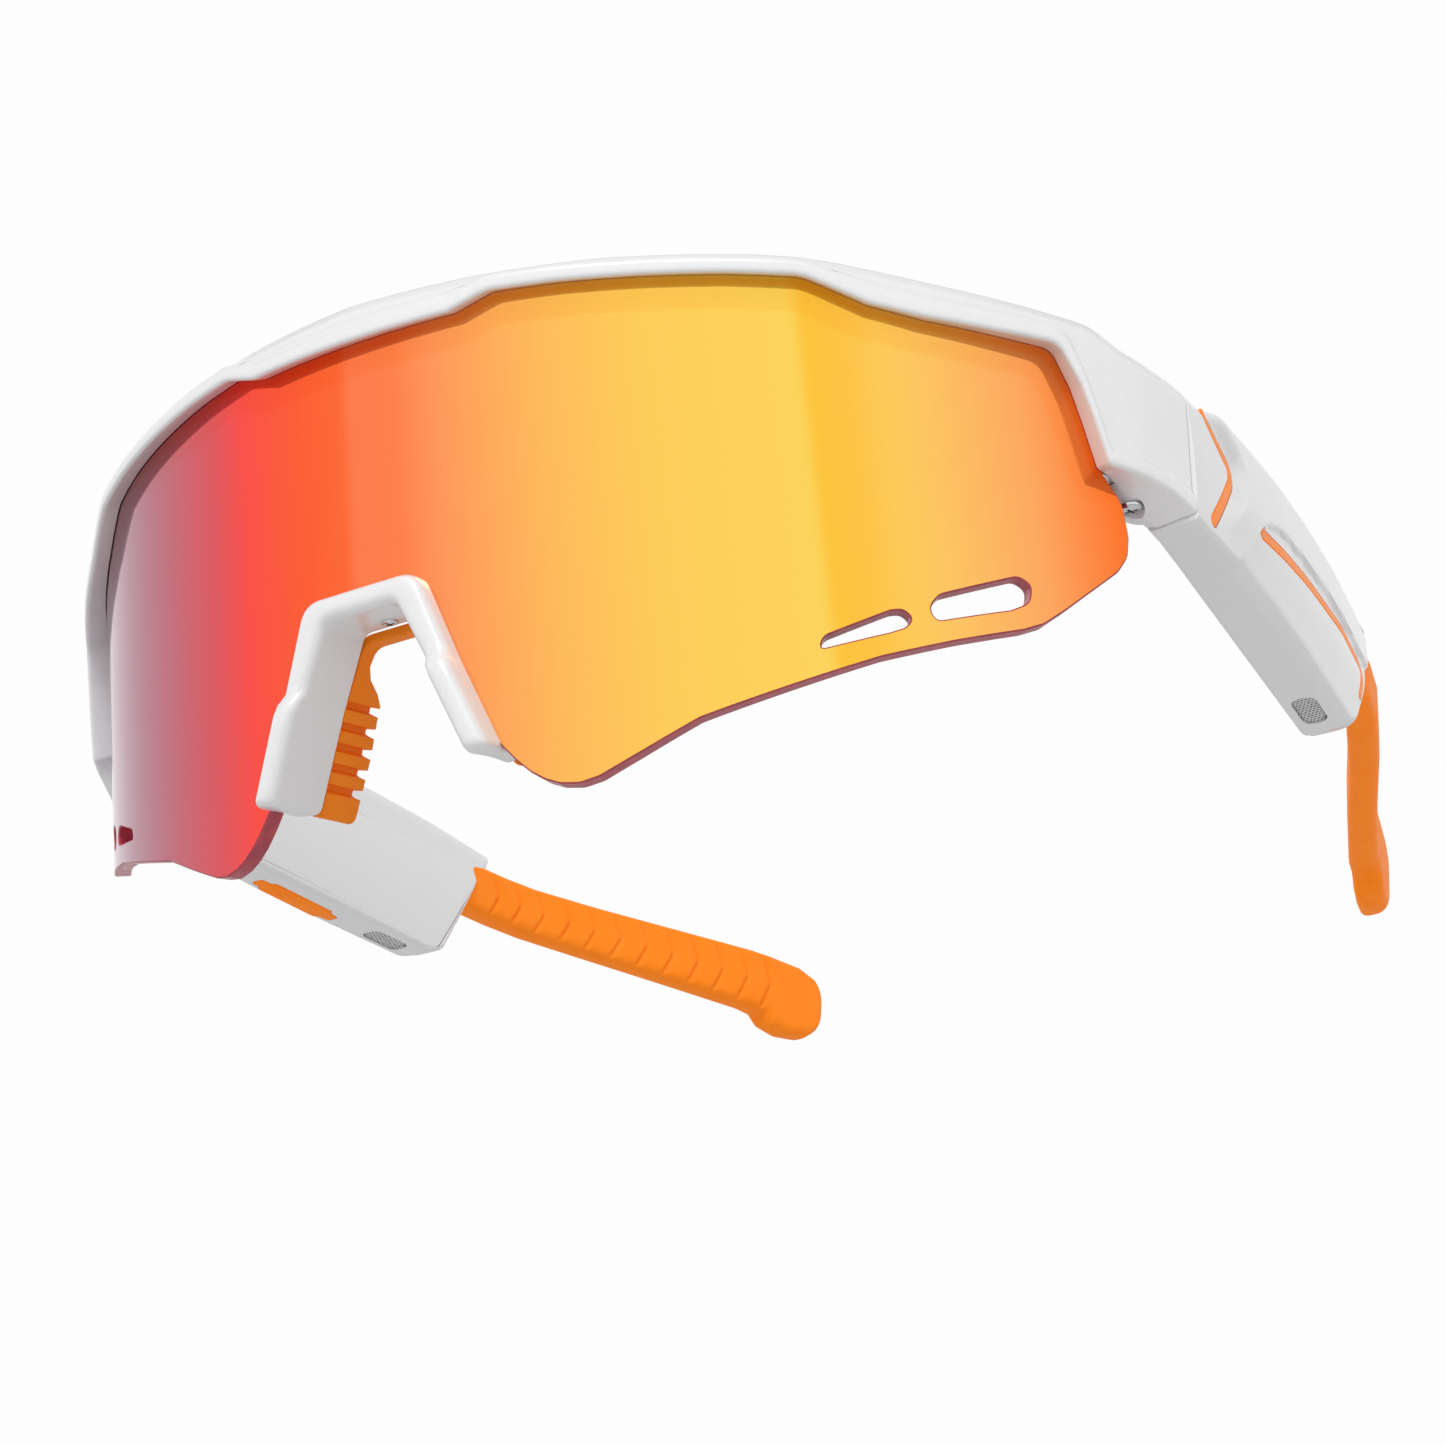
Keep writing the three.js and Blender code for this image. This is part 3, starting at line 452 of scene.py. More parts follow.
def mirror_coating():
    """Mirror coating whose colour turns with the place round the lens; near the rim it is darkened by
    painted shade of the frame.
    """
    surface = Surface("mirror_coating", Metallic=0.9, Roughness=0.05, Specular_IOR_Level=0.2)
    split = surface.nodes.new("ShaderNodeSeparateXYZ")
    surface.link(surface.place, split.inputs["Vector"])
    depth = surface.nodes.new("ShaderNodeMath")
    depth.operation = "SUBTRACT"
    depth.inputs[0].default_value = place(Vector((0, LENS["y"] + LENS["radius"], 0))).y
    surface.link(split.outputs["Y"], depth.inputs[1])
    turn = surface.nodes.new("ShaderNodeMath")
    turn.operation = "ARCTAN2"
    surface.link(split.outputs["X"], turn.inputs[0])
    surface.link(depth.outputs["Value"], turn.inputs[1])
    span = math.radians(COATING_SPAN)
    along = surface.remapped(turn.outputs["Value"], (-span, span))
    stops = [((angle / COATING_SPAN + 1) / 2, rgb(*colour)) for angle, colour in COATING_AND_PAINTED_REFLECTIONS]
    colour = surface.ramp(along, stops)
    rim = surface.nodes.new("ShaderNodeAttribute")
    rim.attribute_name = "rim_distance"
    # Painted shade of the frame on the lens: darkest just below the frame, lighter down to about 3 mm below
    # it.
    near, mid, plain = (1, 0.78, 0.42, 1), (1, 0.93, 0.8, 1), (1, 1, 1, 1)
    band = surface.ramp(rim.outputs["Fac"], [(0.03, near), (0.06, mid), (0.29, mid), (0.34, plain)])
    mix = surface.nodes.new("ShaderNodeMix")
    mix.data_type = "RGBA"
    mix.blend_type = "MULTIPLY"
    mix.inputs["Factor"].default_value = 1
    surface.link(colour, mix.inputs["A"])
    surface.link(band, mix.inputs["B"])
    surface.link(mix.outputs["Result"], surface.shader.inputs["Base Color"])
    return surface.bumpy(90, 0.002, 0.15, 1).material


def lens_inside():
    """The dark tint seen from the wearer's side."""
    surface = Surface("lens_inside", Coat_Weight=0.8, Coat_Roughness=0.03, IOR=1.59)
    surface.mottled(30, rgb(72, 40, 34), rgb(84, 48, 40))
    return surface.uneven(300, 0.07, 0.12).material


def lens_edge():
    """Cut edge of the tinted lens."""
    surface = Surface("lens_edge", IOR=1.59)
    surface.mottled(900, rgb(158, 44, 66), rgb(186, 62, 74))
    return surface.uneven(1200, 0.2, 0.35).material


def steel(name, level, low, high, grain):
    """Bare metal of one grey level, with its roughness between low and high."""
    surface = Surface(name, Metallic=1)
    surface.mottled(grain, rgb(level - 8, level - 8, level - 6), rgb(level, level, level + 2))
    surface.uneven(grain * 2, low, high)
    return surface.bumpy(grain, 0.003, 0.3).material


def speaker_mesh():
    """Bright perforated metal."""
    surface = Surface("speaker_mesh_metal", Metallic=0.4)
    surface.mottled(1500, rgb(196, 196, 198), rgb(216, 216, 218))
    return surface.uneven(2400, 0.3, 0.45).material


def dark_cavity():
    """Acoustic cloth behind the perforations."""
    surface = Surface("acoustic_cloth", Roughness=0.9)
    surface.mottled(3000, rgb(78, 78, 80), rgb(98, 98, 100))
    return surface.bumpy(6000, 0.02).material


def moulded(name, dark, light, roughness):
    """Plain skin of the pieces inside the arms."""
    surface = Surface(name)
    surface.mottled(600, rgb(*dark), rgb(*light))
    surface.uneven(1200, roughness - 0.06, roughness + 0.06)
    return surface.bumpy(1800, 0.006, 0.5).material


WHITE = white_pearl()
RUBBER = orange_rubber("orange_rubber_skin", PAINTED_GLOW)
PAD_RUBBER = orange_rubber("orange_pad_skin", 0)
INLAY = orange_inlay()
COATED = mirror_coating()
TINT = lens_inside()
EDGE = lens_edge()
CHROME = steel("screw_chrome", 222, 0.08, 0.16, 1400)
BRUSHED = steel("hinge_brushed", 168, 0.28, 0.42, 2400)
MESH_METAL = speaker_mesh()
CLOTH = dark_cavity()
BATTERY = moulded("battery_pouch", (168, 170, 176), (192, 194, 200), 0.34)
BOARD = moulded("circuit_board_mask", (18, 88, 54), (26, 108, 66), 0.42)
DRIVER = moulded("speaker_basket", (34, 34, 37), (52, 52, 56), 0.55)

# ---- lens


def on_lens(s, t, r):
    """Point of the lens cylinder."""
    angle = s / LENS["radius"]
    back = LENS["radius"] - r * math.cos(angle)
    return Vector((r * math.sin(angle),
                   LENS["y"] + t * math.sin(LENS["tilt"]) + back * math.cos(LENS["tilt"]),
                   LENS["z"] + t * math.cos(LENS["tilt"]) - back * math.sin(LENS["tilt"])))


def lens_normal(s):
    return on_lens(s, 0, LENS["radius"] + 1) - on_lens(s, 0, LENS["radius"])


LOWER_CURVE = even(rounded(RIM_LOWER, [0, 3, 4, 0, 0, 0, 5, 4, 0, 0, 2.6, 0, 0, 0.8, 3, 3, 3, 0], arc=8), 2)
UPPER_CURVE = even(rounded(RIM_UPPER, 6, arc=6), 2)
FRONT_FACE, REAR_FACE, CUT_EDGE = range(3)          # material slots of the lens


def lens_outline():
    """Half of the lens edge, from the middle of the nose notch round to the middle of the brow."""
    below = rounded(LENS_LOWER, 2.6, arc=5)
    tucked = offset_line([p for p in LOWER_CURVE if p.x < TUCK_END["rim"]], LENS_TUCK)
    return below + [p for p in reversed(tucked) if p.x < TUCK_END["edge"]]


def lens_loops():
    """Outline of the whole lens and those of its vents, each with the lens on its left."""
    half = even(lens_outline(), 0.9)
    loops = [half + mirrored(half[::-1])[1:-1]]
    for side in (1, -1):
        for vent in VENTS:
            curve = even(rounded(vent, VENT_ROUND, arc=5, closed=True), 0.5)
            curve = [Vector((side * p.x, p.y)) for p in curve]
            loops.append(curve if side < 0 else curve[::-1])
    return loops


def inside(point, loop):
    odd = False
    for a, b in zip(loop, loop[1:] + loop[:1]):
        if (a.y > point.y) != (b.y > point.y):
            crossing = a.x + (point.y - a.y) * (b.x - a.x) / (b.y - a.y)
            if point.x < crossing:
                odd = not odd
    return odd


def in_any(point, loops):
    return any(inside(point, loop) for loop in loops)


def rim_distance(point, rim):
    """How far below the frame's edge a point of the lens is."""
    best = RIM_REACH
    for a, b in zip(rim, rim[1:]):
        nearest, share = intersect_point_line(point, a, b)
        nearest = a if share < 0 else b if share > 1 else nearest
        best = min(best, (point - Vector(nearest[:2])).length)
    return best


def lens_sheet(loops, rim):
    """The lens laid flat: its points, its faces, and where each outline point is among them."""
    outline = [p for loop in loops for p in loop]
    edges = []
    start = 0
    for loop in loops:
        edges += [(start + i, start + (i + 1) % len(loop)) for i in range(len(loop))]
        start += len(loop)
    spots = [p for depth in LENS_ROWS for p in offset_line(rim, -depth)]
    spots += [Vector((column, row)) * LENS_GRID["step"]
              for column in LENS_GRID["columns"] for row in LENS_GRID["rows"]]
    spots = [p for p in spots if min((p - q).length for q in outline) > LENS_CLEAR]
    spots = [p for p in spots if inside(p, loops[0]) and not in_any(p, loops[1:])]
    flat, _, faces, origins, _, _ = delaunay_2d_cdt(outline + spots, edges, [], 1, 1e-5)

    def middle_of(face):
        return sum((flat[i] for i in face), Vector((0, 0))) / len(face)

    faces = [tuple(face) for face in faces if not in_any(middle_of(face), loops[1:])]
    index_of = {old: new for new, olds in enumerate(origins) for old in olds}
    return flat, faces, index_of


def lens_mesh(flat, faces, index_of, drawn_in, full):
    """Both faces of the lens and the chamfered walls along its outlines, with each face's kind."""
    outer, inner = LENS["radius"], LENS["radius"] - LENS["thickness"]
    count = len(flat)
    points = [on_lens(p.x, p.y, r) for r in (outer, inner) for p in flat]
    solid = faces + [tuple(i + count for i in reversed(face)) for face in faces]
    kinds = [FRONT_FACE] * len(faces) + [REAR_FACE] * len(faces)
    start = 0
    for loop, full_loop in zip(drawn_in, full):
        size = len(loop)
        front, rear = len(points), len(points) + size
        for r in (outer - LENS_CHAMFER, inner + LENS_CHAMFER):
            points += [on_lens(p.x, p.y, r) for p in full_loop]
        for i in range(size):
            j = (i + 1) % size
            a, b = index_of[start + i], index_of[start + j]
            solid += [(a, front + i, front + j, b), (front + i, rear + i, rear + j, front + j),
                      (rear + i, a + count, b + count, rear + j)]
        kinds += [CUT_EDGE] * 3 * size
        start += size
    return points, solid, kinds


def lens_normals(mesh, flat):
    """Smooth faces take the cylinder's own normals, so that the mirror has no ripples."""
    normals = []
    for polygon in mesh.polygons:
        facing = 1 if polygon.material_index == FRONT_FACE else -1
        for vertex in polygon.vertices:
            if polygon.material_index == CUT_EDGE:
                normals.append(polygon.normal.copy())
            else:
                normals.append(lens_normal(flat[vertex % len(flat)].x) * facing)
    return normals


def shield_lens():
    full = lens_loops()
    drawn_in = [offset_line(loop, LENS_CHAMFER, closed=True) for loop in full]
    rim = even(mirrored(LOWER_CURVE[:0:-1]) + LOWER_CURVE, 1.6)
    rim = [p for p in rim if abs(p.x) < TUCK_END["coating"]]
    flat, faces, index_of = lens_sheet(drawn_in, rim)
    points, solid, kinds = lens_mesh(flat, faces, index_of, drawn_in, full)
    obj = mesh_object("mirror_shield", points, solid, [COATED, TINT, EDGE])
    obj.data.polygons.foreach_set("material_index", kinds)
    # Distance below the frame, which the coating turns into painted shade of the frame.
    attribute = obj.data.attributes.new("rim_distance", "FLOAT", "POINT")
    distances = [rim_distance(p, rim) / RIM_REACH for p in flat] * 2
    distances += [1.0] * (len(points) - len(distances))
    attribute.data.foreach_set("value", distances)
    obj.data.shade_smooth()
    obj.data.normals_split_custom_set(lens_normals(obj.data, flat))
    finish_piece(obj, "front", "mirror_lens", "shield_lens")


# ---- front frame

# Which place on the upper edge faces each length along the lower edge.
FAN = [(0, 0), (52, 51.5), (78.5, 79.5), (93, 84.6), (111, 97.5)]


def frame_ring(low, high):
    """Section of the frame between a point of the lower edge and one of the upper edge."""
    width = (high - low).length
    outer = value_at(RIM_OUTER, low.x)
    face = LENS["radius"] + 0.08
    rear = face - LENS["thickness"] - 0.16
    heel = HEEL["drop"] * smooth((low.x - HEEL["starts"]) / (HEEL["full"] - HEEL["starts"]))
    # Each corner is (distance up from the lower edge, radius).
    upper = [(0, outer + 0.25), (1.5, outer + 0.25), (2.2, outer - 0.2), (width - 1.7, outer - 0.1),
             (width, outer - 1.6), (width, RIM_INNER + 0.4), (width - 1.2, RIM_INNER)]
    groove = LENS_TUCK + 0.3
    with_groove = [(0.2, RIM_INNER), (0.2, rear), (groove, rear), (groove, face), (0.7, face)]
    behind_lens = [(-heel, RIM_INNER), (-heel, rear - 1), (-heel, rear), (-heel, HEEL["radius"]),
                   (-0.6 * heel, face)]
    share = smooth((low.x - HEEL["starts"] + 0.6) / 0.6)
    under = [Vector(a).lerp(Vector(b), share) for a, b in zip(with_groove, behind_lens)]
    radii = [0.65, 0.7, 1, 1.8, 1.2, 1, 1, 0.5, 0.05, 0.05, 0.05, 0.1]
    section = rounded(upper + under, radii, arc=4, side=2, closed=True)
    spots = [(low.lerp(high, up / width), r) for up, r in section]
    return [on_lens(spot.x, spot.y, r) for spot, r in spots]


def front_frame():
    upper = [(p.x, p.y) for p in UPPER_CURVE]
    rings = []
    for along, low in resampled(LOWER_CURVE, 0.9):
        s = value_at(FAN, along)
        rings.append(frame_ring(low, Vector((s, value_at(upper, s)))))
    other_side = [mirrored(ring) for ring in rings[:0:-1]]
    frame_piece = build("brow_frame", *loft(other_side + rings), [WHITE])
    for side in SIDES.values():
        carve(frame_piece, seam_cutter(side), fold_cutter(side), slot_cutter(side), hole_cutter(side))
    finish_piece(frame_piece, "front", "white_plastic", "front_frame")


def seam_y(z):
    return SEAM["y"] + SEAM["lean"] * (z - SEAM["z"])


def seam_cutter(side):
    outline = [(seam_y(0) - SEAM_HALF, 0), (90, 0), (90, 70), (seam_y(70) - SEAM_HALF, 70)]
    return prism(outline, 55, 95, "x", side)


def fold_cutter(side):
    """Room for the arm's front corner as it folds in: a quarter round about the pin."""
    wall, steps = 67.4, 12
    outline = [(55, 37), (wall, 37), (wall, PIN["y"])]
    for k in range(1, steps + 1):
        turn = math.pi - k / steps * math.pi / 2
        outline.append((PIN["x"] + KNUCKLE["radius"] * math.cos(turn),
                        PIN["y"] + KNUCKLE["radius"] * math.sin(turn)))
    outline += [(PIN["x"], 60), (55, 60)]
    return prism(outline, 5, 70, "z", side)


def slot_cutter(side):
    """Slot in the frame for the hinge knuckle."""
    x, y, r = PIN["x"], PIN["y"], KNUCKLE["radius"]
    outline = [(55, y - r), (x + r, y - r), (x + r, 60), (55, 60)]
    return prism(outline, KNUCKLE["bottom"], KNUCKLE["top"], "z", side)


def circle(x, y, radius, steps):
    turns = [2 * math.pi * k / steps for k in range(steps)]
    return [(x + radius * math.cos(a), y + radius * math.sin(a)) for a in turns]


def hole_cutter(side):
    outline = circle(PIN["x"], PIN["y"], PIN["hole"], 32)
    return prism(outline, 15, PIN["bottom"] + PIN["hole_depth"], "z", side)


# ---- screws


def screw(name, x, y, bottom, head, node):
    """A domed head that faces down, with a cross recess."""
    radius, height = head["radius"], head["height"]
    profile = [(0.5 * radius, 0.02), (0.78 * radius, 0.08), (0.94 * radius, 0.18), (radius, 0.32),
               (radius, height), (0.6 * radius, height), (0.6 * radius, height + 1.2)]
    rings = [[Vector((u, v, bottom + up)) for u, v in circle(x, y, r, 40)] for r, up in profile]
    piece = build(name, *loft(rings), [CHROME])
    long, short = RECESS["arm"] * radius, RECESS["half"] * radius
    for u, v in ((long, short), (short, long)):
        outline = [(x - u, y - v), (x + u, y - v), (x + u, y + v), (x - u, y + v)]
        carve(piece, prism(outline, bottom - 1, bottom + RECESS["depth"], "z"))
    finish_piece(piece, "front", "screw_steel", node)


# ---- nose bridge and pad


def arch(half, radii, side=8):
    """An outline in x and z carried over to the other side of the nose."""
    line = [Vector(p) for p in half]
    return rounded(line + mirrored(line[::-1]), radii, arc=8, side=side)


def across_leg(a, b, section):
    """A section, as (across, y), put between an inner and an outer point of the arch."""
    width = (b - a).length
    spots = [(a.lerp(b, u / width), y) for u, y in section]
    return [Vector((spot.x, y, spot.y)) for spot, y in spots]


def closed_feet(rings):
    """The rings of an arch with round feet at both ends."""
    lean, down = FOOT["lean"], -FOOT["down"]
    first = round_end(rings[0], Vector((lean, 0, down)), FOOT["round"])
    last = round_end(rings[-1], Vector((-lean, 0, down)), FOOT["round"])
    return first[::-1] + rings + last


def nose_bridge():
    inner = arch(BRIDGE_INNER, [0, 4, 1.6, 1.6, 4, 0])
    outer = arch(BRIDGE_OUTER, [0, 4, 3.2, 3.2, 4, 0])
    rings = []
    for a, b in zip(inner, outer):
        front = value_at(BRIDGE_FRONT, (a.y + b.y) / 2)
        width = (b - a).length
        corners = [(0, front), (width, front), (width, BRIDGE_REAR), (0, BRIDGE_REAR)]
        section = rounded(corners, [1.5, 1.5, 0.5, 0.5], arc=8, side=3, closed=True)
        rings.append(across_leg(a, b, section))
    bridge = build("clip_bridge", *loft(closed_feet(rings)), [WHITE])
    finish_piece(bridge, "front", "white_plastic", "nose_bridge")


def rib_depth(z):
    """How deep the pad's surface is cut at a height, from 0 to 1."""
    if not PAD["rib_low"] < z < PAD["rib_high"]:
        return 0
    down = (PAD["rib_high"] - z) % PAD["pitch"]
    edge = PAD["groove_edge"]
    return smooth(down / edge) * smooth((PAD["groove"] - down) / edge)


def nose_pad():
    """Soft saddle behind the bridge: two ribbed legs and a thinner arch."""
    inner = arch(PAD_INNER, [0, 4, 1.8, 1.8, 4, 0], side=60)
    outer = offset_line(inner, -PAD["thickness"])
    rings = []
    for a, b in zip(inner, outer):
        cut = rib_depth(a.y)
        on_leg = smooth((PAD["arch"] - 0.8 - a.y) / 1.5)
        b = a.lerp(b, PAD["arch_share"] + (1 - PAD["arch_share"]) * on_leg)
        rear = value_at(PAD_REAR, a.y) - PAD["rear_cut"] * cut
        width = (b - a).length
        sunk = PAD["depth"] * cut
        corners = [(sunk, PAD["front"]), (width, PAD["front"]), (width, rear), (sunk, rear)]
        section = rounded(corners, [0.2, 0.3, 0.4, 0.35], arc=3, side=2, closed=True)
        rings.append(across_leg(a, b, section))
    pad = build("saddle_pad", *loft(closed_feet(rings)), [PAD_RUBBER])
    shade(pad, 30)
    finish_piece(pad, "front", "orange_rubber", "nose_pad")


# ---- arms


def arm_point(x, y, z):
    """Arm frame to design frame."""
    cos, sin = math.cos(ARM["droop"]), math.sin(ARM["droop"])
    return Vector((x, ARM["y"] + y * cos + z * sin, ARM["z"] - y * sin + z * cos))


def seam_in_arm(z):
    """Where the seam plane meets the arm's frame at a height."""
    cos, sin = math.cos(ARM["droop"]), math.sin(ARM["droop"])
    lean = SEAM["lean"]
    start = SEAM["y"] - ARM["y"] + lean * (ARM["z"] - SEAM["z"])
    return (start + z * (lean * cos - sin)) / (cos + lean * sin) + SEAM_HALF


def distance_to(line, y, z):
    """Distance to a line in the arm's side view, above 0 to the right of the way that it runs."""
    point = Vector((y, z))
    best, signed = 99.0, 99.0
    for (ay, az), (by, bz) in zip(line, line[1:]):
        a, b = Vector((ay, az)), Vector((by, bz))
        along = b - a
        share = min(1, max(0, (point - a).dot(along) / along.length_squared))
        away = point - (a + along * share)
        if away.length < best:
            best = away.length
            cross = along.x * (point.y - a.y) - along.y * (point.x - a.x)
            signed = -best if cross > 0 else best
    return signed


def outer_x(y, z):
    """Outer face of the case."""
    share = min(1, max(0, z / value_at(ARM_HEIGHT, y)))
    base = value_at(ARM_OUTER, y) * (1 - share) + value_at(ARM_CREST, y) * share
    bulge = FACE["bulge"] * math.sin(math.pi * share)
    behind = distance_to(CHEVRON, y, z) - FACE["step_from"]
    rise = FACE["step"] * min(1, max(0, behind / FACE["step_run"])) * smooth(share * 2)
    run = FACE["recess_run"]
    in_panel = smooth(distance_to(PANEL_FRONT, y, z) / run) * smooth(distance_to(PANEL_TOP, y, z) / run)
    return base + bulge + rise - FACE["recess"] * in_panel


def case_ring(share, inset=0.0):
    """Section of the case at a share of its length, drawn in by inset."""
    def along(z):
        rear = ARM_END["bottom"] + ARM_END["slope"] * z
        front = seam_in_arm(z)
        return front + (rear - front) * share
    middle = along(CASE["middle"])
    face = value_at(ARM_OUTER, middle)
    inner, outer = value_at(ARM_INNER, middle) + inset, face - inset
    height = value_at(ARM_HEIGHT, middle) - inset
    reach = max(0, along(0) - ARM_END["bottom"] + ARM_END["round"])
    low = inset + ARM_END["round"] - math.sqrt(ARM_END["round"] ** 2 - reach ** 2)
    corners = [(inner, low), (outer, low), (outer, height), (inner, height)]
    low_edge = CASE["low"] + CASE["low_more"] * smooth((middle - CASE["low_from"]) / CASE["low_run"])
    radii = [CASE["inner_low"], low_edge, CASE["crest"], CASE["inner_top"]]
    ring = []
    for x, z in rounded(corners, radii, arc=7, side=34, closed=True):
        y = along(z)
        across = (x - inner) / (outer - inner)
        ring.append((x + (outer_x(y, z) - face) * smooth((across - 0.5) * 2), y, z))
    return ring


def case_rings():
    """Sections of the case from the seam to its rounded rear end, in the arm's frame."""
    count, end, lip = CASE["rings"], CASE["end"], CASE["front"]
    last = 1 - end / ARM_END["bottom"]
    rings = [case_ring(last * k / count) for k in range(count + 1)]
    rings[0] = [(x, y + lip, z) for x, y, z in rings[0]]
    rings.insert(0, case_ring(0, lip))
    for k in range(1, 6):
        turn = k / 5 * math.pi / 2
        inset = end * (1 - math.cos(turn))
        rings.append([(x, y + end * math.sin(turn), z) for x, y, z in case_ring(last, inset)])
    return rings


def arm_case(side_name):
    side = SIDES[side_name]
    rings = [[arm_point(*p) for p in ring] for ring in case_rings()]
    case = build(f"{side_name}_arm_shell", *loft(rings), [WHITE], side)
    carve(case, leaf_cutter(side), lid_cutter(side))
    for _, _, line, half in STRIPES:
        channel = ribbon(line, half, INLAY_GAP, -INLAY_DEPTH - 0.05, 1.5)
        carve(case, build("cutter", *channel, [], side))
    carve(case, grille_cutter(side))
    if side_name == "right":
        carve(case, port_cutter(side))
    finish_piece(case, f"{side_name}_arm", "white_plastic", f"{side_name}_case")


def leaf_cutter(side):
    """Slot that the hinge leaf fits in, level with the ground."""
    outline = [(60, 36), (72.7, 36), (72.7, 47.8), (60, 47.8)]
    return prism(outline, KNUCKLE["bottom"], KNUCKLE["top"], "z", side)


def lid_outline(grow):
    """Side view of the lid, parallel to the case's edges."""
    low, high, rear = COVER["low"], COVER["high"], COVER["rear"]
    slant = ARM_END["slope"]
    corners = [(COVER["front"], low), (rear + slant * low, low), (rear + slant * high, high),
               (COVER["front"] - 1, high)]
    outline = rounded(corners, 1.6, arc=6, side=40, closed=True)
    return offset_line(outline, -grow, closed=True)


def lid_cutter(side):
    loop = lid_outline(COVER["gap"])
    rings = [[arm_point(value_at(ARM_INNER, y) + depth, y, z) for y, z in loop] for depth in (-2, 0.5)]
    return build("cutter", *loft(rings), [], side)


def inner_cover(side_name):
    """Thin lid that sits in the case's inner face."""
    side = SIDES[side_name]
    rings = []
    for inset, proud in ((0, -0.48), (0, -0.05), (0.05, 0), (0.15, 0.015)):
        loop = lid_outline(-inset)
        rings.append([arm_point(value_at(ARM_INNER, y) - proud, y, z) for y, z in loop])
    lid = build(f"{side_name}_arm_lid", *loft(rings), [WHITE], side)
    finish_piece(lid, f"{side_name}_arm", "white_plastic", f"{side_name}_inner_cover")


def round_cap(row, way, steps=4):
    """Rows that close a ribbon's end with a half circle, ahead of it or behind it."""
    point, forward, width = row
    rows = []
    for k in range(1, steps + 1):
        turn = k / (steps + 1) * math.pi / 2
        rows.append((point + forward * way * width * math.sin(turn), forward, width * math.cos(turn)))
    return rows


def ribbon(line, half, clearance, low, high):
    """Band along a line of the outer face, between two heights above it, with round ends."""
    curve = resampled(rounded(line, 1.6, arc=6), 0.7)
    total = curve[-1][0]
    rows = []
    for i, (along, point) in enumerate(curve):
        ahead = curve[min(i + 1, len(curve) - 1)][1] - curve[max(i - 1, 0)][1]
        rows.append((point, ahead.normalized(), value_at(half, along / total) + clearance))
    rings = []
    for point, forward, width in round_cap(rows[0], -1)[::-1] + rows + round_cap(rows[-1], 1):
        across = Vector((-forward.y, forward.x))
        edge = min(0.12, width * 0.4)
        ring = []
        for offset, level in ((-width, low), (width, low), (width, high - edge), (width - edge, high),
                              (edge - width, high), (-width, high - edge)):
            y, z = point + across * offset
            ring.append(arm_point(outer_x(y, z) + level, y, z))
        rings.append(ring)
    return loft(rings)


def stripe(side_name, label, node, line, half):
    band = ribbon(line, half, 0, -INLAY_DEPTH, INLAY_PROUD)
    piece = build(f"{side_name}_{label}", *band, [INLAY], SIDES[side_name])
    finish_piece(piece, f"{side_name}_arm", "orange_trim", f"{side_name}_{node}")


def under_middle(y):
    return (value_at(ARM_INNER, y) + value_at(ARM_OUTER, y)) / 2


def grille_middle(y):
    return under_middle(y) - GRILLE["inward"]


def grille_outline(grow):
    """Rounded outline of the speaker opening in the underside, as (x, y)."""
    y, half = GRILLE["y"], GRILLE["length"] / 2 + grow
    w = GRILLE["width"] / 2 + grow
    front, rear = grille_middle(y - half), grille_middle(y + half)
    corners = [(front - w, y - half), (front + w, y - half), (rear + w, y + half), (rear - w, y + half)]
    return rounded(corners, GRILLE["round"], arc=6, closed=True)


def flat_cutter(outline, low, high, side):
    rings = [[arm_point(x, y, z) for x, y in outline] for z in (low, high)]
    return build("cutter", *loft(rings), [], side)


def grille_cutter(side):
    return flat_cutter(grille_outline(GRILLE["gap"]), -1, GRILLE["depth"], side)


def port_outline(grow):
    """Long rounded cover with a narrower tab at each end."""
    half, neck = PORT["half"] + grow, PORT["half"] * PORT["neck"] + grow
    a, b = PORT["front"] - grow, PORT["rear"] + grow
    side = [(a, neck * 0.9), (a + 1.6, neck), (a + 2, half), (b - 2, half), (b - 1.6, neck), (b, neck * 0.9)]
    right = [(under_middle(y) + PORT["outward"] + w, y) for y, w in side]
    left = [(under_middle(y) + PORT["outward"] - w, y) for y, w in reversed(side)]
    return rounded(right + left, 0.6, arc=4, side=4, closed=True)


def port_cutter(side):
    return flat_cutter(port_outline(PORT["gap"]), -1, 1.2, side)


def port_cover():
    outline = port_outline(0)
    rings = []
    for inset, z in ((0, 0.8), (0, 0.1), (0.05, -0.02), (0.16, -PORT["proud"])):
        rings.append([arm_point(x, y, z) for x, y in offset_line(outline, inset, closed=True)])
    cover = build("right_charge_cover", *loft(rings), [RUBBER], SIDES["right"])
    finish_piece(cover, "port_cover", "orange_rubber", "right_port_cover")


def grille_cells():
    """Middles of the grille's cells, with every other row moved sideways."""
    loop = grille_outline(-GRILLE["gap"])
    length, width = GRILLE["length"], GRILLE["width"]
    rows, columns = int(length / GRILLE["pitch"]), int(width / GRILLE["pitch"])
    for row in range(rows):
        y = GRILLE["y"] - length / 2 + (row + 0.5) * length / rows
        stagger = 0.25 if row % 2 else -0.25
        for column in range(columns):
            x = grille_middle(y) - width / 2 + (column + 0.5 + stagger) * width / columns
            if inside(Vector((x, y)), loop):
                yield x, y, width / columns / 2, length / rows / 2


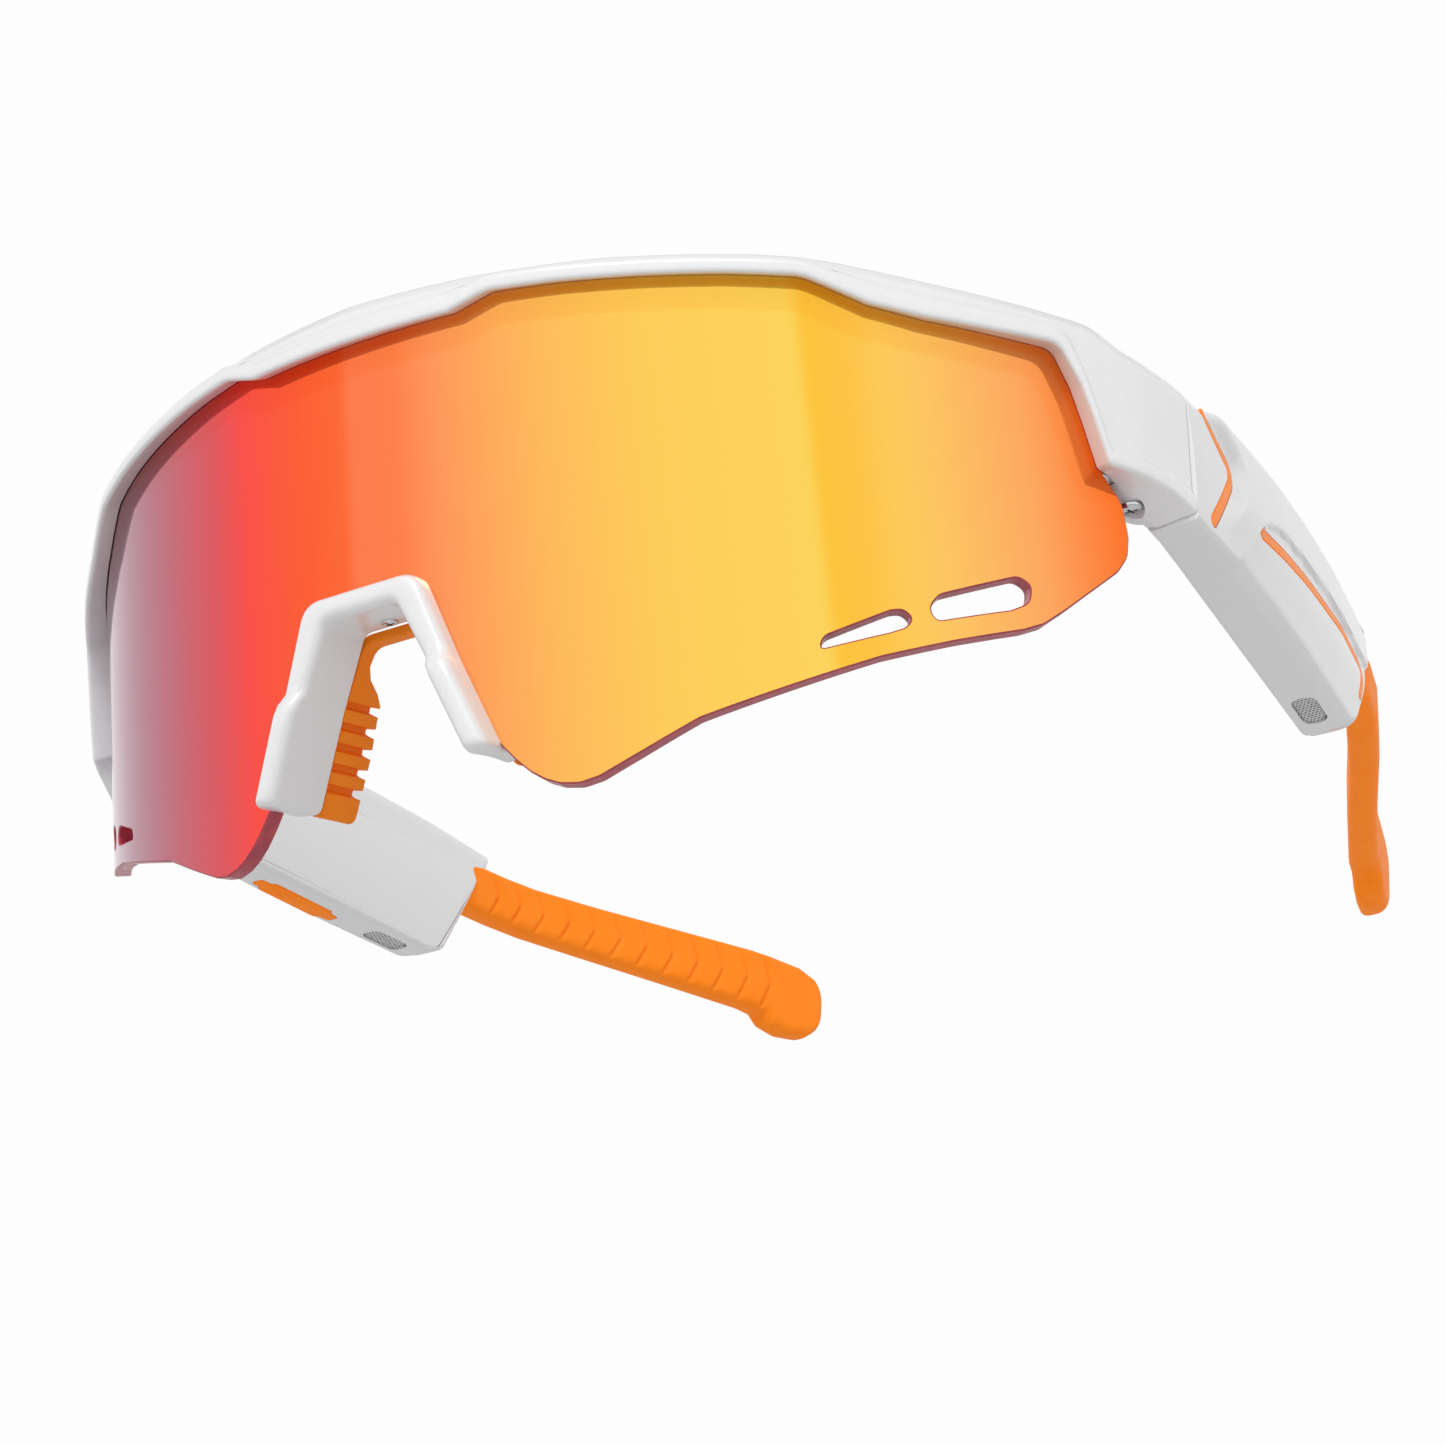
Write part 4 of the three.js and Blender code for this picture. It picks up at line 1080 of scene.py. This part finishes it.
def grille_plate():
    """Perforated plate: one cell with a diamond hole, repeated over the opening."""
    hole = GRILLE["pitch"] * GRILLE["hole"]
    diamond = [(hole, 0), (0, hole), (-hole, 0), (0, -hole)]
    points, faces = [], []
    for x, y, hx, hy in grille_cells():
        slope = grille_middle(y + 1) - grille_middle(y)
        base = len(points)
        for z in (GRILLE["level"], GRILLE["level"] + GRILLE["thickness"]):
            for dx, dy in [(hx, -hy), (hx, hy), (-hx, hy), (-hx, -hy), *diamond]:
                points.append(arm_point(x + dx + slope * dy, y + dy, z))
        for i in range(4):
            a, b = base + i, base + (i + 1) % 4
            faces += [(a, b, a + 4), (b, b + 4, a + 4), (b + 8, a + 8, a + 12), (b + 12, b + 8, a + 12),
                      (a + 4, b + 4, b + 12, a + 12)]
    return points, faces


def speaker_grille(side_name):
    side = SIDES[side_name]
    plate = build(f"{side_name}_speaker_mesh", *grille_plate(), [MESH_METAL], side)
    shade(plate, 20)
    finish_piece(plate, f"{side_name}_arm", "speaker_mesh", f"{side_name}_speaker_grille")
    rings = [[arm_point(x, y, z) for x, y in grille_outline(0.03)] for z in (0.6, 0.85)]
    cloth = build(f"{side_name}_speaker_cloth", *loft(rings), [CLOTH], side)
    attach(cloth, f"{side_name}_arm")


def groove_depth(y, z):
    """Chevron grooves on the side of the tip that touches the head."""
    centre = (value_at(TIP_LOW, y) + value_at(TIP_HIGH, y)) / 2
    half = (value_at(TIP_HIGH, y) - value_at(TIP_LOW, y)) / 2
    bent = y - TIP_GROOVES["bend"] * (1 - abs(z - centre) / half)
    count = round((bent - TIP_GROOVES["first"]) / TIP_GROOVES["pitch"])
    if not 0 <= count < TIP_GROOVES["count"]:
        return 0
    away = bent - TIP_GROOVES["first"] - count * TIP_GROOVES["pitch"]
    profile = smooth(1 - abs(away) / TIP_GROOVES["half"])
    return TIP_GROOVES["depth"] * profile * smooth((half - abs(z - centre)) / 1.2)


def tip_ring(y, shrink=0.0):
    centre = value_at(TIP_CENTRE, y)
    low, high = value_at(TIP_LOW, y) + shrink, value_at(TIP_HIGH, y) - shrink
    half = TIP["half"] - shrink * 0.5
    corners = [(-half, low), (half, low), (half, high), (-half, high)]
    section = rounded(corners, [1.7, 2.0, 1.6, 1.3], arc=7, side=26, closed=True)
    ring = []
    for x, z in section:
        inward = smooth(-x / half * 2)
        ring.append(arm_point(centre + x + groove_depth(y, z) * inward, y, z))
    return ring


def ear_tip(side_name):
    count, front, end = TIP["rings"], TIP["front"], TIP["end"]
    rear = TIP["rear"] - end
    rings = [tip_ring(front + (rear - front) * k / count) for k in range(count + 1)]
    for k in range(1, 6):
        turn = k / 5 * math.pi / 2
        rings.append(tip_ring(rear + end * math.sin(turn), TIP["end_inset"] * (1 - math.cos(turn))))
    tip = build(f"{side_name}_soft_tip", *loft(rings), [RUBBER], SIDES[side_name])
    finish_piece(tip, f"{side_name}_arm", "orange_rubber", f"{side_name}_ear_tip")


def hidden_node(name, material):
    """A CAD piece that keeps its shape and gets softer edges and its own finish."""
    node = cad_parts[name]
    node.data.materials.clear()
    node.data.materials.append(material)
    bevel = node.modifiers.new("soft_edges", "BEVEL")
    bevel.width = NODE_BEVEL * MM
    bevel.segments = 2
    bevel.limit_method = "ANGLE"
    bevel.angle_limit = math.radians(50)


def arm(side_name):
    arm_case(side_name)
    inner_cover(side_name)
    for names_and_shape in STRIPES:
        stripe(side_name, *names_and_shape)
    speaker_grille(side_name)
    ear_tip(side_name)
    for part, material in (("hinge_leaf", BRUSHED), ("speaker_driver", DRIVER), ("battery", BATTERY),
                           ("circuit_board", BOARD), ("tip_core", BRUSHED)):
        hidden_node(f"{side_name}_{part}", material)


# ---- stage, light and camera


def floor():
    """Pale floor, below the camera's height."""
    size, drop = 4, -0.36
    mesh = bpy.data.meshes.new("floor")
    mesh.from_pydata([(-size, -size, drop), (size, -size, drop), (size, size, drop), (-size, size, drop)],
                     [], [(0, 1, 2, 3)])
    surface = Surface("floor_paint")
    surface.mottled(3, rgb(222, 222, 222), rgb(228, 228, 228))
    mesh.materials.append(surface.uneven(8, 0.7, 0.85).material)
    obj = add_object("floor", mesh)


def sky():
    """White surround up to the height that lamps hang at, and a dimmer ceiling."""
    world = bpy.data.worlds.new("studio")
    bpy.context.scene.world = world
    world.use_nodes = True
    nodes, links = world.node_tree.nodes, world.node_tree.links
    place_node = nodes.new("ShaderNodeTexCoord")
    split = nodes.new("ShaderNodeSeparateXYZ")
    ramp = nodes.new("ShaderNodeValToRGB")
    links.new(place_node.outputs["Generated"], split.inputs["Vector"])
    links.new(split.outputs["Z"], ramp.inputs["Fac"])
    links.new(ramp.outputs["Color"], nodes["Background"].inputs["Color"])
    levels = [(0, 0.55), (0.04, 0.985), (0.5, 0.985), (0.66, 0.4)]
    set_stops(ramp.color_ramp, [(height, (level, level, level, 1)) for height, level in levels])


KEY_LIGHT = {"location": (0.25, -0.75, 1.0), "target": (0, 0, 0.03), "size": (0.55, 0.4), "power": 8}


def key_light():
    """One soft box above and in front of the glasses."""
    data = bpy.data.lights.new("key", "AREA")
    data.shape = "RECTANGLE"
    data.size, data.size_y = KEY_LIGHT["size"]
    data.energy = KEY_LIGHT["power"]
    obj = add_object("key", data)
    obj.location = KEY_LIGHT["location"]
    aim = Vector(KEY_LIGHT["target"]) - Vector(KEY_LIGHT["location"])
    obj.rotation_euler = aim.to_track_quat("-Z", "Y").to_euler()


CAMERA = {"location": (0.245217, -0.397317, -0.098284), "azimuth": 32.220, "tilt": 14.737, "roll": -5.978,
          "lens": 98.61}


def camera():
    data = bpy.data.cameras.new("camera")
    data.lens = CAMERA["lens"]
    data.sensor_width = 36
    data.clip_start = 0.01
    obj = add_object("camera", data)
    turn = (Matrix.Rotation(math.radians(CAMERA["azimuth"]), 4, "Z")
            @ Matrix.Rotation(math.radians(90 + CAMERA["tilt"]), 4, "X")
            @ Matrix.Rotation(math.radians(CAMERA["roll"]), 4, "Z"))
    obj.matrix_world = Matrix.Translation(CAMERA["location"]) @ turn
    bpy.context.scene.camera = obj


# ---- the whole object

shield_lens()
front_frame()
nose_bridge()
nose_pad()
for arm_name, arm_side in SIDES.items():
    screw(f"{arm_name}_pivot_screw", arm_side * PIN["x"], PIN["y"], PIN["bottom"], PIVOT_HEAD,
          f"hinge_screw_{arm_name}")
screw("bridge_pan_screw", 0, BRIDGE_HEAD["y"], BRIDGE_HEAD["bottom"], BRIDGE_HEAD, "bridge_screw")
for arm_name in SIDES:
    arm(arm_name)
port_cover()

floor()
sky()
key_light()
camera()
bpy.context.scene.view_settings.view_transform = "Standard"
